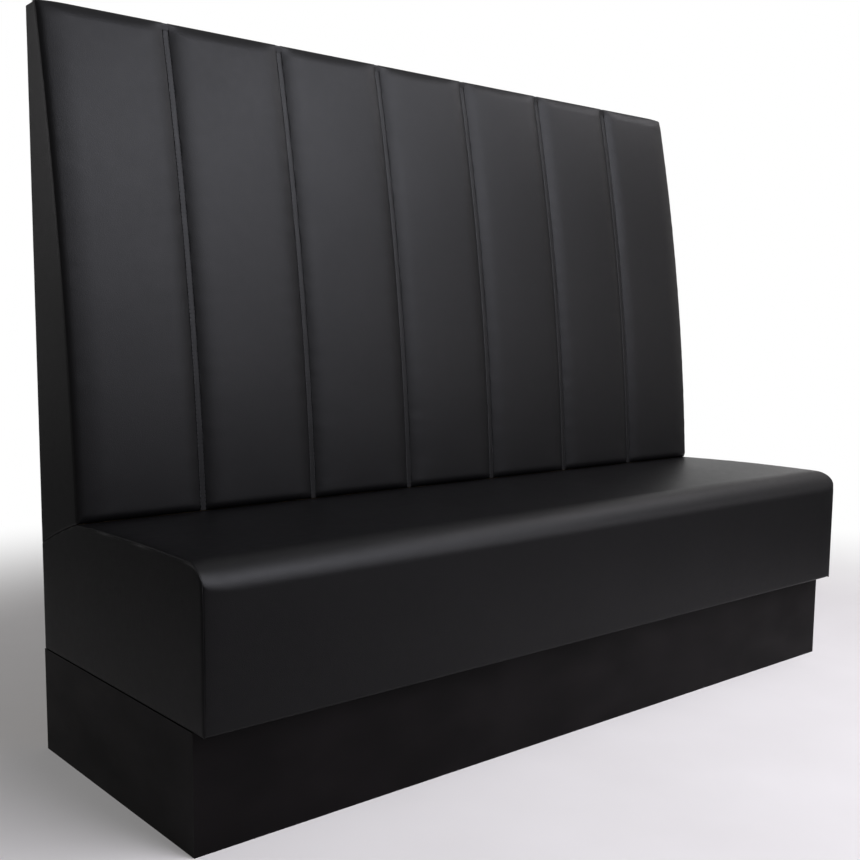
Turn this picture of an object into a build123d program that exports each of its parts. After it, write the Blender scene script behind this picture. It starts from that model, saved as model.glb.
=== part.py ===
from build123d import *
import os
from math import asin, atan2, cos, degrees, hypot, pi, radians, sin, sqrt

os.makedirs("parts", exist_ok=True)

# A high-backed restaurant bench: a plinth, an upholstered seat box and a channelled back.
# All lengths are millimetres. X runs along the bench, the front faces -Y and Z is up.
# The origin is on the floor under the middle of the bench.

# Outside sizes
bench_length = 1800
seat_depth = 600          # wall to the seam at the apron's ends
seat_height = 470         # floor to the crown of the seat
back_height = 1390
plinth_height = 200
plinth_recess = 33        # the plinth's front stands back from the apron's end seam

# Side profile of the back and of the joint between back and seat
back_top_thickness = 42   # wall to the end seam, at the top
back_foot_depth = 165     # wall to the end seam, at the seat
back_face_bulge = 18      # how far the face bows forward of a straight line
joint_rear_drop = 65      # the joint below the seat's crown, at the wall
joint_front_drop = 6      # and at the face of the back
joint_bulge = 3

# Upholstery of the seat
cover_thickness = 2
end_cover_thickness = 3   # vinyl with thin wadding over the end boards
apron_swell = 5           # the apron stands in front of its drawn-in ends
top_draw = 5              # the seat's ends are drawn down to their seam
draw_length = 50          # length over which the ends are drawn in
draw_steps = 4
seat_crown = 3            # the seat falls away from its crown to the front roll
roll_depth = 60           # front roll, measured back from the apron
roll_drop = 50            # front roll, measured down from the seat
roll_corner_share = 0.8   # radius of the roll's lower arc, of the drop
end_roll_depth = 40       # the roll is squarer at the end seams
end_roll_drop = 30
end_roll_corner_share = 0.6
apron_tuck = 3            # the apron runs in towards its lower edge
apron_bow = 1             # and bows out between the roll and that edge
hem_radius = 6
apron_foam_thickness = 14

# Channels of the back, level 0 being the seam line
flute_width_shares = (0.994, 1.015, 1.017, 1.002, 0.992, 0.992, 0.988)
flute_rise = 12           # channel's shoulder above the seam line
flute_swell = 2           # further crown across the channel
shoulder_width = 34       # the channels slope down to the bands over this width
flank_width = 38          # the outer channels roll over wider at the bench's ends
flank_corner_radius = 8
pad_sink = 6              # the channels' underside behind the seam line
band_width = 11           # twin-stitched band along each seam
band_sink = 2
band_rise = 6             # the bands' face in front of the seam line
band_top_margin = 10      # the bands stop short of the top edge
pad_top_radius = 24
pad_foot_radius = 11
base_foam_thickness = 8
face_panel_thickness = 4
rear_lining_thickness = 3
top_cover_thickness = 2

# Timber
board_thickness = 18
deck_thickness = 12
cushion_thickness = 85    # from the deck to the seat's crown
plinth_bearer_height = 100
seat_bearer_height_share = 0.585    # of the height between the box's underside and the deck
bearer_count = 3
rib_count = 3
rail_height = 70
rail_height_shares = (0.36, 0.68)   # places of the middle rails up the back
top_rail_height = 60
block_size = 50
block_height = 60
vent_diameter = 30
vent_count = 8

# Steel
plate_thickness = 3
plate_width = 40
plate_length = 200
plate_drop = 105          # how far a plate reaches below the joint
lower_hole_count = 2      # holes of a plate that lie below the joint
plate_end_margin = 20
plate_hole_pitch = 40
screw_diameter = 5
screw_head_diameter = 10
screw_length = 30
bolt_diameter = 8
bolt_head_across = 13
bolt_head_height = 5.5
washer_diameter = 24
washer_thickness = 2
nut_height = 6.5
bolt_tail = 8             # thread that shows past the nut
fixing_side_count = 8     # small round fixings and their holes have few flat sides

# Clearances
soft_gap = 0.3            # between curved soft faces
joint_gap = 0.5           # between the seat and the back that stands on it
hole_clearance = 0.2
overrun = 20              # a cutter or blank passes this far beyond what it cuts
foot_rounds = 8           # steps that find where two arcs meet

# Places worked out from the sizes above
half_length = bench_length / 2
inner_half = half_length - end_cover_thickness
overall_depth = seat_depth + apron_swell
rear_y = overall_depth / 2
plinth_depth = seat_depth - plinth_recess
joint_rear_height = seat_height - joint_rear_drop
joint_front_height = seat_height - joint_front_drop
deck_top_height = seat_height - cushion_thickness
box_height = plinth_height + cover_thickness   # underside of the seat box's boards
apron_board_front = overall_depth - apron_tuck - cover_thickness - apron_foam_thickness
back_core_level = -(pad_sink + base_foam_thickness + face_panel_thickness)
rear_board_front = plate_thickness + board_thickness


def circle_through(first, second, third):
    """Centre and radius of the circle through three points."""
    (ax, ay), (bx, by), (cx, cy) = first, second, third
    spread = 2 * (ax * (by - cy) + bx * (cy - ay) + cx * (ay - by))
    a2 = ax ** 2 + ay ** 2
    b2 = bx ** 2 + by ** 2
    c2 = cx ** 2 + cy ** 2
    x = (a2 * (by - cy) + b2 * (cy - ay) + c2 * (ay - by)) / spread
    y = (a2 * (cx - bx) + b2 * (ax - cx) + c2 * (bx - ax)) / spread
    return (x, y), hypot(ax - x, ay - y)


def bowed_middle(first, second, bulge):
    """The middle of a shallow arc that bows to the left of the way from first to second."""
    run = (second[0] - first[0], second[1] - first[1])
    length = hypot(*run)
    middle = ((first[0] + second[0]) / 2, (first[1] + second[1]) / 2)
    return middle[0] - bulge * run[1] / length, middle[1] + bulge * run[0] / length


# The face of the back is an arc about a line far behind the wall, along the bench
face_top = (back_top_thickness, back_height)
face_foot = (back_foot_depth, joint_front_height)
face_centre, face_radius = circle_through(
    face_foot, bowed_middle(face_foot, face_top, -back_face_bulge), face_top)

# The joint under the back rises from the wall to the seat in a shallow arc
joint_rear = (0, joint_rear_height)
joint_front = (back_foot_depth, joint_front_height)
joint_centre, joint_radius = circle_through(
    joint_rear, bowed_middle(joint_rear, joint_front, joint_bulge), joint_front)


def face_depth(height, level=0):
    """Distance from the wall to the face of the back, a level in front of its seam line."""
    rise = height - face_centre[1]
    return face_centre[0] + sqrt((face_radius + level) ** 2 - rise ** 2)


def joint_height(depth, lift=0):
    """Height of the joint between seat and back, at a distance from the wall."""
    run = depth - joint_centre[0]
    return joint_centre[1] + sqrt(joint_radius ** 2 - run ** 2) + lift


def place(point):
    """A (depth from the wall, height) point as a point of the side plane."""
    return rear_y - point[0], point[1]


def line(first, second):
    return Line(place(first), place(second))


def arc(first, middle, last):
    return ThreePointArc(place(first), place(middle), place(last))


def across(edges, start, end):
    """Closed side outline carried along the bench from start to end."""
    face = Face(Wire(edges))
    solid = extrude(Plane.YZ * face, end - start, dir=(1, 0, 0))
    return Pos(start, 0, 0) * solid


def board(x_range, depth_range, height_range):
    """Straight board between two values along the bench, in depth and in height."""
    size = [high - low for low, high in (x_range, depth_range, height_range)]
    corner = (x_range[0], rear_y - depth_range[1], height_range[0])
    return Pos(*corner) * Box(*size, align=(Align.MIN, Align.MIN, Align.MIN))


def oval_quarter(width, rise, tight):
    """Crown point, arc middle, tangent point, arc middle and side point of two tangent arcs.

    The first arc leaves (0, rise) level, the second reaches (width, 0) upright.
    """
    wide = (width ** 2 - 2 * width * tight + rise ** 2) / (2 * (rise - tight))
    turn = atan2(wide - rise, width - tight)
    high = (pi / 2 + turn) / 2
    crown_middle = (wide * cos(high), rise - wide + wide * sin(high))
    tangent = (wide * cos(turn), rise - wide + wide * sin(turn))
    side_middle = (width - tight + tight * cos(turn / 2), tight * sin(turn / 2))
    return (0, rise), crown_middle, tangent, side_middle, (width, 0)


def valley_arc(width, rise):
    """Crown, middle and side point of one arc that leaves (0, rise) level and falls to (width, 0)."""
    radius = (width ** 2 + rise ** 2) / (2 * rise)
    turn = asin(width / radius) / 2
    return (0, rise), (radius * sin(turn), rise - radius + radius * cos(turn)), (width, 0)


def save(solid, name):
    export_step(solid, f"parts/{name}.step")


def save_pair(make, name):
    """A left piece and its mirror image."""
    left = make()
    save(left, f"{name}_left")
    save(mirror(left, about=Plane.YZ), f"{name}_right")


# Seat section, from the wall over the top and the roll down to the hem

def joint_arc(start, end, lift):
    middle = (start + end) / 2
    points = [(depth, joint_height(depth, lift)) for depth in (start, middle, end)]
    return arc(*points)


def roll_sizes(draw):
    """Depth, drop and lower radius of the front roll, squarer where the cover is drawn in."""
    depth = roll_depth + (end_roll_depth - roll_depth) * draw
    drop = roll_drop + (end_roll_drop - roll_drop) * draw
    share = roll_corner_share + (end_roll_corner_share - roll_corner_share) * draw
    return depth, drop, drop * share


def seat_top_points(inset, draw):
    """Rear, crown and front points of the seat's top, drawn down by a share at its ends."""
    roll_start = overall_depth - apron_swell * draw - roll_sizes(draw)[0]
    crown = (back_foot_depth + roll_start) / 2
    height = seat_height - top_draw * draw - inset
    rear_height = joint_height(back_foot_depth) - inset
    return (back_foot_depth, rear_height), (crown, height), (roll_start, height - seat_crown)


def seat_path(start, inset, draw):
    """Edges of the seat's outer surface, moved inwards by inset, with its two last points."""
    rear, crown, roll_start = seat_top_points(inset, draw)
    front = overall_depth - apron_swell * draw
    depth, drop, corner = roll_sizes(draw)
    base = (roll_start[0], roll_start[1] + inset - drop)
    roll = oval_quarter(depth - inset, drop - inset, corner - inset)
    roll = [(base[0] + along, base[1] + up) for along, up in roll]
    tuck = apron_tuck * (1 - draw)
    hem_top = (front - tuck - inset, plinth_height + hem_radius)
    middle = ((roll[4][0] + hem_top[0]) / 2 + apron_bow, (roll[4][1] + hem_top[1]) / 2)
    hem = hem_radius - inset
    hem_centre = (hem_top[0] - hem, hem_top[1])
    hem_middle = (hem_centre[0] + hem * cos(pi / 4), hem_centre[1] - hem * sin(pi / 4))
    hem_low = (hem_centre[0], hem_centre[1] - hem)
    edges = [
        joint_arc(start, back_foot_depth, -inset),
        arc(rear, crown, roll_start),
        arc(*roll[:3]),
        arc(*roll[2:]),
        arc(roll[4], middle, hem_top),
        arc(hem_top, hem_middle, hem_low),
    ]
    return edges, roll[4], hem_low


def draw_stations():
    """Pairs of a place along the bench and the share by which the seat is drawn in there."""
    turns = [pi / 2 * step / draw_steps for step in range(draw_steps + 1)]
    ends = [(draw_length * (1 - cos(turn)), 1 - sin(turn)) for turn in turns]
    left = [(distance - inner_half, share) for distance, share in ends]
    return left + [(-x, share) for x, share in reversed(left)]


def lofted(outline):
    """Ruled loft of a side outline whose shape follows the drawn-in ends."""
    sections = [Pos(x, 0, 0) * (Plane.YZ * Face(Wire(outline(draw)))) for x, draw in draw_stations()]
    return loft(sections, ruled=True)


def seat_cover():
    """Vinyl over the seat, the roll and the apron, turned in under the seat box."""

    def outline(draw):
        outer, _, outer_low = seat_path(rear_board_front, 0, draw)
        inner, _, inner_low = seat_path(rear_board_front, cover_thickness, draw)
        outer_end = (plinth_depth, outer_low[1])
        inner_end = (plinth_depth, inner_low[1])
        top = (rear_board_front, joint_height(rear_board_front))
        under = (rear_board_front, top[1] - cover_thickness)
        hem = [line(outer_low, outer_end), line(outer_end, inner_end), line(inner_end, inner_low)]
        return outer + hem + inner[::-1] + [line(under, top)]

    return lofted(outline)


def seat_foam():
    """Foam block on the deck, crowned and rolled as the cover over it."""
    inset = cover_thickness + soft_gap

    def outline(draw):
        edges, roll_end, _ = seat_path(rear_board_front, inset, draw)
        step = (apron_board_front, roll_end[1])
        step_low = (apron_board_front, deck_top_height)
        rear_low = (rear_board_front, deck_top_height)
        rear_top = (rear_board_front, joint_height(rear_board_front, -inset))
        block = [line(roll_end, step), line(step, step_low), line(step_low, rear_low)]
        return edges[:4] + block + [line(rear_low, rear_top)]

    return lofted(outline)


def apron_foam():
    """Thin foam sheet between the front board and the apron's vinyl."""
    inset = cover_thickness + soft_gap

    def outline(draw):
        edges, roll_end, hem_low = seat_path(rear_board_front, inset, draw)
        low = (apron_board_front, hem_low[1])
        high = (apron_board_front, roll_end[1])
        return edges[4:] + [line(hem_low, low), line(low, high), line(high, roll_end)]

    return lofted(outline)


def seat_end_cover():
    """Padded vinyl side of the seat box, seamed to the cover along its edge."""
    edges, _, hem_low = seat_path(0, 0, 1)
    rear_low = (0, hem_low[1])
    edges = edges + [line(hem_low, rear_low), line(rear_low, joint_rear)]
    return across(edges, -half_length, -inner_half)


# Timber of the seat box

board_end = inner_half - board_thickness
deck_under = deck_top_height - deck_thickness
bolt_front = plinth_depth - board_thickness - block_size / 2
bolt_rear = rear_board_front + block_size / 2
bolt_x = board_end - block_size / 2
bolt_places = [(x, depth) for x in (-bolt_x, bolt_x) for depth in (bolt_front, bolt_rear)]


def rod(diameter, height):
    """Upright rod with few flat sides, for small fixings and their holes."""
    return extrude(RegularPolygon(diameter / 2, fixing_side_count, major_radius=False), height)


def bolt_holes(low, high):
    hole = rod(bolt_diameter + 2 * hole_clearance, high - low)
    return [Pos(x, rear_y - depth, low) * hole for x, depth in bolt_places]


def seat_end_board():
    """End board with a horn at the rear that carries the back."""
    horn_rear = (0, joint_height(0, -soft_gap))
    horn_front = (rear_board_front, joint_height(rear_board_front, -soft_gap))
    points = [
        (0, box_height),
        horn_rear,
        horn_front,
        (rear_board_front, deck_under),
        (apron_board_front, deck_under),
        (apron_board_front, box_height),
    ]
    edges = [line(a, b) for a, b in zip(points, points[1:] + points[:1])]
    return across(edges, -inner_half, -board_end)


def seat_front_board():
    depths = (apron_board_front - board_thickness, apron_board_front)
    return board((-board_end, board_end), depths, (box_height, deck_under))


def seat_rear_board():
    """Rear board, bevelled at its top to carry the back, and drilled for the joining plates."""
    points = [
        (plate_thickness, box_height),
        (plate_thickness, joint_height(plate_thickness, -soft_gap)),
        (rear_board_front, joint_height(rear_board_front, -soft_gap)),
        (rear_board_front, box_height),
    ]
    edges = [line(a, b) for a, b in zip(points, points[1:] + points[:1])]
    return across(edges, -board_end, board_end) - lower_screw_holes()


def bearer_spots(count):
    """Even places along the inside of the frame."""
    return [board_end * (2 * (index + 1) / (count + 1) - 1) for index in range(count)]


def seat_bearer(x):
    """Bearer from the rear board to the front board, under the deck."""
    span = (x - board_thickness / 2, x + board_thickness / 2)
    depths = (rear_board_front, apron_board_front - board_thickness)
    low = deck_under - seat_bearer_height_share * (deck_under - box_height)
    return board(span, depths, (low, deck_under)) - lower_screw_holes()


def seat_deck():
    """Deck on the boards and bearers, with holes that let the cushion breathe."""
    heights = (deck_under, deck_top_height)
    deck = board((-inner_half, inner_half), (rear_board_front, apron_board_front), heights)
    middle = (rear_board_front + apron_board_front) / 2
    pitch = 2 * board_end / vent_count
    vent_length = 2 * (deck_thickness + overrun)
    vent = Pos(0, rear_y - middle, deck_under) * Cylinder(vent_diameter / 2, vent_length)
    return deck - [Pos(pitch * (index + 1 / 2) - board_end) * vent for index in range(vent_count)]


def seat_corner_blocks():
    """Glue blocks in the seat box's corners, each drilled for a bolt."""
    front = (bolt_front - block_size / 2, apron_board_front - board_thickness)
    rear = (rear_board_front, rear_board_front + block_size)
    left = (-board_end, -board_end + block_size)
    right = (board_end - block_size, board_end)
    heights = (box_height, box_height + block_height)
    blocks = [board(x, depth, heights) for x in (left, right) for depth in (front, rear)]
    holes = bolt_holes(box_height - overrun, box_height + block_height + overrun)
    return [block - holes for block in blocks]


def seat_base_lining():
    """Thin lining under the seat box, level with the vinyl turned in under it."""
    span = (-inner_half, inner_half)
    lining = board(span, (0, plinth_depth - soft_gap), (plinth_height, box_height))
    return lining - bolt_holes(plinth_height - overrun, box_height + overrun)


# Plinth

def plinth_front_board():
    """Front board, mitred at both ends."""
    front_y = rear_y - plinth_depth
    corners = [
        (-half_length, front_y),
        (half_length, front_y),
        (half_length - board_thickness, front_y + board_thickness),
        (-half_length + board_thickness, front_y + board_thickness),
    ]
    return extrude(make_face(Polyline(*corners, close=True)), plinth_height)


def plinth_end_board():
    """Left end board, mitred at the front."""
    front_y = rear_y - plinth_depth
    corners = [
        (-half_length, front_y),
        (-half_length + board_thickness, front_y + board_thickness),
        (-half_length + board_thickness, rear_y),
        (-half_length, rear_y),
    ]
    return extrude(make_face(Polyline(*corners, close=True)), plinth_height)


def plinth_rear_board():
    span = half_length - board_thickness
    return board((-span, span), (plate_thickness, rear_board_front), (0, plinth_height))


def plinth_bearer(x):
    """Cross board between the plinth's front and rear boards."""
    span = (x - board_thickness / 2, x + board_thickness / 2)
    depths = (rear_board_front, plinth_depth - board_thickness)
    return board(span, depths, (plinth_height - plinth_bearer_height, plinth_height))


def plinth_corner_blocks():
    """Glue blocks in the plinth's corners, drilled in line with the blocks above."""
    front = (plinth_depth - board_thickness - block_size, plinth_depth - board_thickness)
    rear = (rear_board_front, rear_board_front + block_size)
    inside = half_length - board_thickness
    left = (-inside, -board_end + block_size)
    right = (board_end - block_size, inside)
    heights = (plinth_height - block_height, plinth_height)
    blocks = [board(x, depth, heights) for x in (left, right) for depth in (front, rear)]
    holes = bolt_holes(plinth_height - block_height - overrun, plinth_height + overrun)
    return [block - holes for block in blocks]


# Fixings

def hexagon(across_flats, height):
    return extrude(RegularPolygon(across_flats / 2, 6, major_radius=False), height)


def plinth_bolts():
    """Bolts with washers that hold the seat box down on the plinth."""
    top = box_height + block_height
    grip = top - plinth_height + block_height
    shank_length = grip + 2 * washer_thickness + nut_height + bolt_tail
    washer = Pos(0, 0, top) * rod(washer_diameter, washer_thickness)
    head = Pos(0, 0, top + washer_thickness) * hexagon(bolt_head_across, bolt_head_height)
    shank = Pos(0, 0, top + washer_thickness - shank_length) * rod(bolt_diameter, shank_length)
    bolt = washer + head + shank
    return [Pos(x, rear_y - depth, 0) * bolt for x, depth in bolt_places]


def plinth_nuts():
    """Nuts and washers under the plinth's blocks."""
    low = plinth_height - block_height - washer_thickness
    washer = Pos(0, 0, low) * rod(washer_diameter, washer_thickness)
    nut = Pos(0, 0, low - nut_height) * hexagon(bolt_head_across, nut_height)
    hole = rod(bolt_diameter + 2 * hole_clearance, plinth_height)
    return [Pos(x, rear_y - depth, 0) * (washer + nut - hole) for x, depth in bolt_places]


def rear_facing(x, z, depth, solid):
    """Turns an upright solid so that it points into the bench from the wall."""
    return Pos(x, rear_y - depth, z) * Rot(90, 0, 0) * solid


def countersink(diameter, head, thickness):
    """Taper of a countersunk head, standing upright with its wide end at the bottom."""
    wide = RegularPolygon(head / 2, fixing_side_count, major_radius=False)
    narrow = Pos(0, 0, thickness) * RegularPolygon(diameter / 2, fixing_side_count, major_radius=False)
    return loft([wide.face(), narrow.face()], ruled=True)


def screw_hole(x, z):
    """Hole behind a joining plate, as deep as the screw is long."""
    return rear_facing(x, z, plate_thickness, rod(screw_diameter + 2 * hole_clearance, screw_length))


rib_places = bearer_spots(rib_count)
plate_low = joint_rear_height - plate_drop
plate_high = plate_low + plate_length
plate_holes = [
    plate_low + plate_end_margin,
    plate_low + plate_end_margin + plate_hole_pitch,
    plate_high - plate_end_margin - plate_hole_pitch,
    plate_high - plate_end_margin,
]


def lower_screw_holes():
    """Holes for the screws below the joint, through the rear board into the bearers."""
    return [screw_hole(x, z) for x in rib_places for z in plate_holes[:lower_hole_count]]


def joining_plates():
    """Steel plates across the joint at the rear, one behind each rib."""
    widening = 2 * hole_clearance
    sink = countersink(screw_diameter + widening, screw_head_diameter + widening, plate_thickness)
    plates = []
    for x in rib_places:
        span = (x - plate_width / 2, x + plate_width / 2)
        plate = board(span, (0, plate_thickness), (plate_low, plate_high))
        plates.append(plate - [rear_facing(x, z, 0, sink) for z in plate_holes])
    return plates


def joining_screws():
    """Countersunk screws through the plates into the rear board and the ribs."""
    head = countersink(screw_diameter, screw_head_diameter, plate_thickness)
    screw = head + rod(screw_diameter, screw_length)
    return [rear_facing(x, z, 0, screw) for x in rib_places for z in plate_holes]


# Timber of the back

back_top = back_height - top_cover_thickness
core_front_top = face_depth(back_top, back_core_level)


def face_arc(low, high, level):
    heights = (low, (low + high) / 2, high)
    return arc(*[(face_depth(height, level), height) for height in heights])


def foot_point(level, lift):
    """Where the face, at a level, meets the joint raised by a lift."""
    height = joint_front_height
    for _ in range(foot_rounds):
        height = joint_height(face_depth(height, level), lift)
    return face_depth(height, level), height


def side_outline(level, top, rear, lift):
    """Side outline of the back from the wall side to the face, down to the raised joint."""
    foot = foot_point(level, lift)
    return [
        face_arc(foot[1], top, level),
        line((face_depth(top, level), top), (rear, top)),
        line((rear, top), (rear, joint_height(rear, lift))),
        joint_arc(rear, foot[0], lift),
    ]


def back_gable():
    """Left gable of the back, cut to the full side profile."""
    return across(side_outline(back_core_level, back_top, 0, joint_gap), -inner_half, -board_end)


def rail_span(share):
    """Lowest and highest edge of a middle rail."""
    middle = joint_rear_height + share * (back_height - joint_rear_height)
    return middle - rail_height / 2, middle + rail_height / 2


def back_rib(x):
    """Rib between the base board and the top rail, notched at the rear for the middle rails."""
    rear = rear_lining_thickness
    top = back_top - top_rail_height
    half = board_thickness / 2
    edges = side_outline(back_core_level, top, rear, joint_gap + board_thickness)
    rib = across(edges, x - half, x + half)
    span = (x - board_thickness, x + board_thickness)
    depths = (0, rear + board_thickness)
    notches = [board(span, depths, rail_span(share)) for share in rail_height_shares]
    holes = [screw_hole(x, z) for z in plate_holes[lower_hole_count:]]
    return rib - notches - holes


def back_middle_rail(share):
    """Rail let into the ribs' rear edges, from gable to gable."""
    depths = (rear_lining_thickness, rear_lining_thickness + board_thickness)
    return board((-board_end, board_end), depths, rail_span(share))


def back_top_rail():
    """Bevelled rail that fills the thin top of the back."""
    low = back_top - top_rail_height
    rear = rear_lining_thickness
    edges = [
        face_arc(low, back_top, back_core_level),
        line((core_front_top, back_top), (rear, back_top)),
        line((rear, back_top), (rear, low)),
        line((rear, low), (face_depth(low, back_core_level), low)),
    ]
    return across(edges, -board_end, board_end)


def back_base_board():
    """Curved board under the ribs, that stands on the seat."""
    rear = rear_lining_thickness
    low_lift = joint_gap
    high_lift = joint_gap + board_thickness
    low_front = foot_point(back_core_level, low_lift)
    high_front = foot_point(back_core_level, high_lift)
    edges = [
        joint_arc(rear, low_front[0], low_lift),
        line(low_front, high_front),
        joint_arc(rear, high_front[0], high_lift),
        line((rear, joint_height(rear, high_lift)), (rear, joint_height(rear, low_lift))),
    ]
    return across(edges, -board_end, board_end)


def rear_lining():
    """Thin black board that closes the rear of the back, notched for the joining plates."""
    heights = (joint_height(rear_lining_thickness, joint_gap), back_top)
    lining = board((-board_end, board_end), (0, rear_lining_thickness), heights)
    notches = [
        board(
            (x - plate_width / 2 - hole_clearance, x + plate_width / 2 + hole_clearance),
            (-overrun, rear_lining_thickness + overrun),
            (heights[0] - overrun, plate_high + hole_clearance),
        )
        for x in rib_places
    ]
    return lining - notches


# Upholstery of the back: each layer turns about the same far line, so all stay parallel

sweep_low = degrees(asin((joint_rear_height - overrun - face_centre[1]) / face_radius))
sweep_high = degrees(asin((back_height + overrun - face_centre[1]) / face_radius))
turning_line = Axis((0, rear_y - face_centre[0], face_centre[1]), (-1, 0, 0))
start_angle = radians(sweep_low)
start_plane = Plane(
    origin=(0, rear_y - face_centre[0], face_centre[1]),
    x_dir=(1, 0, 0),
    z_dir=(0, -sin(start_angle), -cos(start_angle)),
)


def turned(edges):
    """Turns an outline of (along the bench, level) edges up the face of the back."""
    face = start_plane * Face(Wire(edges))
    return revolve(face, turning_line, sweep_high - sweep_low)


def level_point(x, level):
    return x, face_radius + level


def level_polyline(points):
    places = [level_point(*point) for point in points]
    return [Line(a, b) for a, b in zip(places, places[1:])]


def seat_surface_height(depth, lift):
    """Height of the seat's top just in front of the joint."""
    centre, radius = circle_through(*seat_top_points(0, 0))
    return centre[1] + sqrt(radius ** 2 - (depth - centre[0]) ** 2) + lift


def edge_at(solid, point):
    """The edge along the bench that passes a (depth, height) point."""
    y, z = place(point)

    def distance(edge):
        start = edge @ 0
        return hypot(start.Y - y, start.Z - z)

    return min(solid.edges().filter_by(Axis.X), key=distance)


def back_prism(front_level, top):
    """Everything from the wall to a level in front of the seam line, with its two front corners."""
    front_foot = face_depth(seat_height, front_level)
    foot = (front_foot, seat_surface_height(front_foot, joint_gap))
    knee = (back_foot_depth, joint_height(back_foot_depth, joint_gap))
    top_front = (face_depth(top, front_level), top)
    middle = (foot[1] + top) / 2
    edges = [
        line((0, top), top_front),
        arc(top_front, (face_depth(middle, front_level), middle), foot),
        line(foot, knee),
        joint_arc(0, back_foot_depth, joint_gap),
        line((0, joint_height(0, joint_gap)), (0, top)),
    ]
    return across(edges, -half_length, half_length), top_front, foot


def pad_envelope():
    """The prism of the channels, rounded over at its top edge and its foot."""
    front_level = flute_rise + flute_swell + 2 * soft_gap
    prism, top_front, foot = back_prism(front_level, back_height)
    prism = fillet(edge_at(prism, top_front), pad_top_radius)
    return fillet(edge_at(prism, foot), pad_foot_radius)


def back_layer(level_low, level_high, top):
    """Curved sheet between two levels, as long as the frame."""
    corners = [
        (-inner_half, level_low),
        (inner_half, level_low),
        (inner_half, level_high),
        (-inner_half, level_high),
        (-inner_half, level_low),
    ]
    return turned(level_polyline(corners)) & back_prism(overrun, top)[0]


def seam_places():
    """Places of the end seams and of the seams between the channels."""
    total = sum(flute_width_shares)
    places = [-half_length]
    for share in flute_width_shares:
        places.append(places[-1] + bench_length * share / total)
    return places


def shoulder_edges(x, way, at_end):
    """Edges of one side of a channel, from its underside up to its shoulder."""
    if at_end:
        start, width, low = x, flank_width, soft_gap
        shape = oval_quarter(width, flute_rise, flank_corner_radius)
        steps = [(end_cover_thickness, -pad_sink), (end_cover_thickness, low), (0, low)]
    else:
        edge = band_width / 2 + soft_gap
        start, width, low = x + way * edge, shoulder_width, band_rise
        shape = valley_arc(width, flute_rise + soft_gap - band_rise)
        middle = soft_gap / 2
        ledge = -band_sink - soft_gap
        steps = [(middle, -pad_sink), (middle, ledge), (edge, ledge), (edge, low)]
    points = [(x + way * along, level) for along, level in steps]
    rolled = [level_point(start + way * (width - along), up + low) for along, up in shape]
    edges = level_polyline(points)
    for last in range(len(rolled) - 1, 0, -2):
        edges.append(ThreePointArc(*rolled[last - 2 : last + 1][::-1]))
    return edges, level_point(*points[0]), rolled[0]


def back_flute(index, envelope):
    """One foam-filled channel, crowned across and rolled over at the top and the foot."""
    places = seam_places()
    left, right = places[index], places[index + 1]
    left_edges, left_low, left_high = shoulder_edges(left, 1, index == 0)
    last = len(flute_width_shares) - 1
    right_edges, right_low, right_high = shoulder_edges(right, -1, index == last)
    crown = ((left_high[0] + right_high[0]) / 2, left_high[1] + flute_swell)
    edges = left_edges + [ThreePointArc(left_high, crown, right_high)]
    edges += right_edges[::-1] + [Line(right_low, left_low)]
    return turned(edges) & envelope


def seam_bands(envelope):
    """Flat twin-stitched bands in the valleys between the channels."""
    half = band_width / 2
    bands = []
    trim = board(
        (-half_length, half_length),
        (-overrun, overall_depth),
        (seat_height, back_height - band_top_margin),
    )
    for x in seam_places()[1:-1]:
        corners = [
            (x - half, -band_sink),
            (x + half, -band_sink),
            (x + half, band_rise),
            (x - half, band_rise),
            (x - half, -band_sink),
        ]
        bands.append(turned(level_polyline(corners)) & envelope & trim)
    return bands


def back_end_cover():
    """Padded vinyl side of the back, with the seam along its bowed front edge."""
    return across(side_outline(0, back_height, 0, joint_gap), -half_length, -inner_half)


def back_top_cover():
    """Vinyl strip over the top of the back, from the channels to the wall."""
    front = face_depth(back_height, -pad_sink)
    return board((-inner_half, inner_half), (0, front), (back_top, back_height))


def build_plinth():
    save(plinth_front_board(), "plinth_front_board")
    save_pair(plinth_end_board, "plinth_end_board")
    save(plinth_rear_board(), "plinth_rear_board")
    for number, x in enumerate(bearer_spots(bearer_count), 1):
        save(plinth_bearer(x), f"plinth_bearer_{number}")
    save(Compound(children=plinth_corner_blocks()), "plinth_corner_blocks")


def build_seat():
    save(seat_front_board(), "seat_front_board")
    save(seat_rear_board(), "seat_rear_board")
    save_pair(seat_end_board, "seat_end_board")
    for number, x in enumerate(bearer_spots(bearer_count), 1):
        save(seat_bearer(x), f"seat_bearer_{number}")
    save(Compound(children=seat_corner_blocks()), "seat_corner_blocks")
    save(seat_deck(), "seat_deck")
    save(seat_base_lining(), "seat_base_lining")
    save(seat_foam(), "seat_foam")
    save(apron_foam(), "apron_foam")
    save(seat_cover(), "seat_cover")
    save_pair(seat_end_cover, "seat_end_cover")


def build_back():
    save_pair(back_gable, "back_gable")
    for number, x in enumerate(rib_places, 1):
        save(back_rib(x), f"back_rib_{number}")
    for number, share in enumerate(rail_height_shares, 1):
        save(back_middle_rail(share), f"back_middle_rail_{number}")
    save(back_top_rail(), "back_top_rail")
    save(back_base_board(), "back_base_board")
    save(rear_lining(), "back_rear_lining")
    panel_front = back_core_level + face_panel_thickness
    save(back_layer(back_core_level, panel_front, back_top), "back_face_panel")
    save(back_layer(panel_front, -pad_sink, back_top), "back_base_foam")
    envelope = pad_envelope()
    for index in range(len(flute_width_shares)):
        save(back_flute(index, envelope), f"back_flute_{index + 1}")
    save(Compound(children=seam_bands(envelope)), "back_seam_bands")
    save_pair(back_end_cover, "back_end_cover")
    save(back_top_cover(), "back_top_cover")


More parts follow.
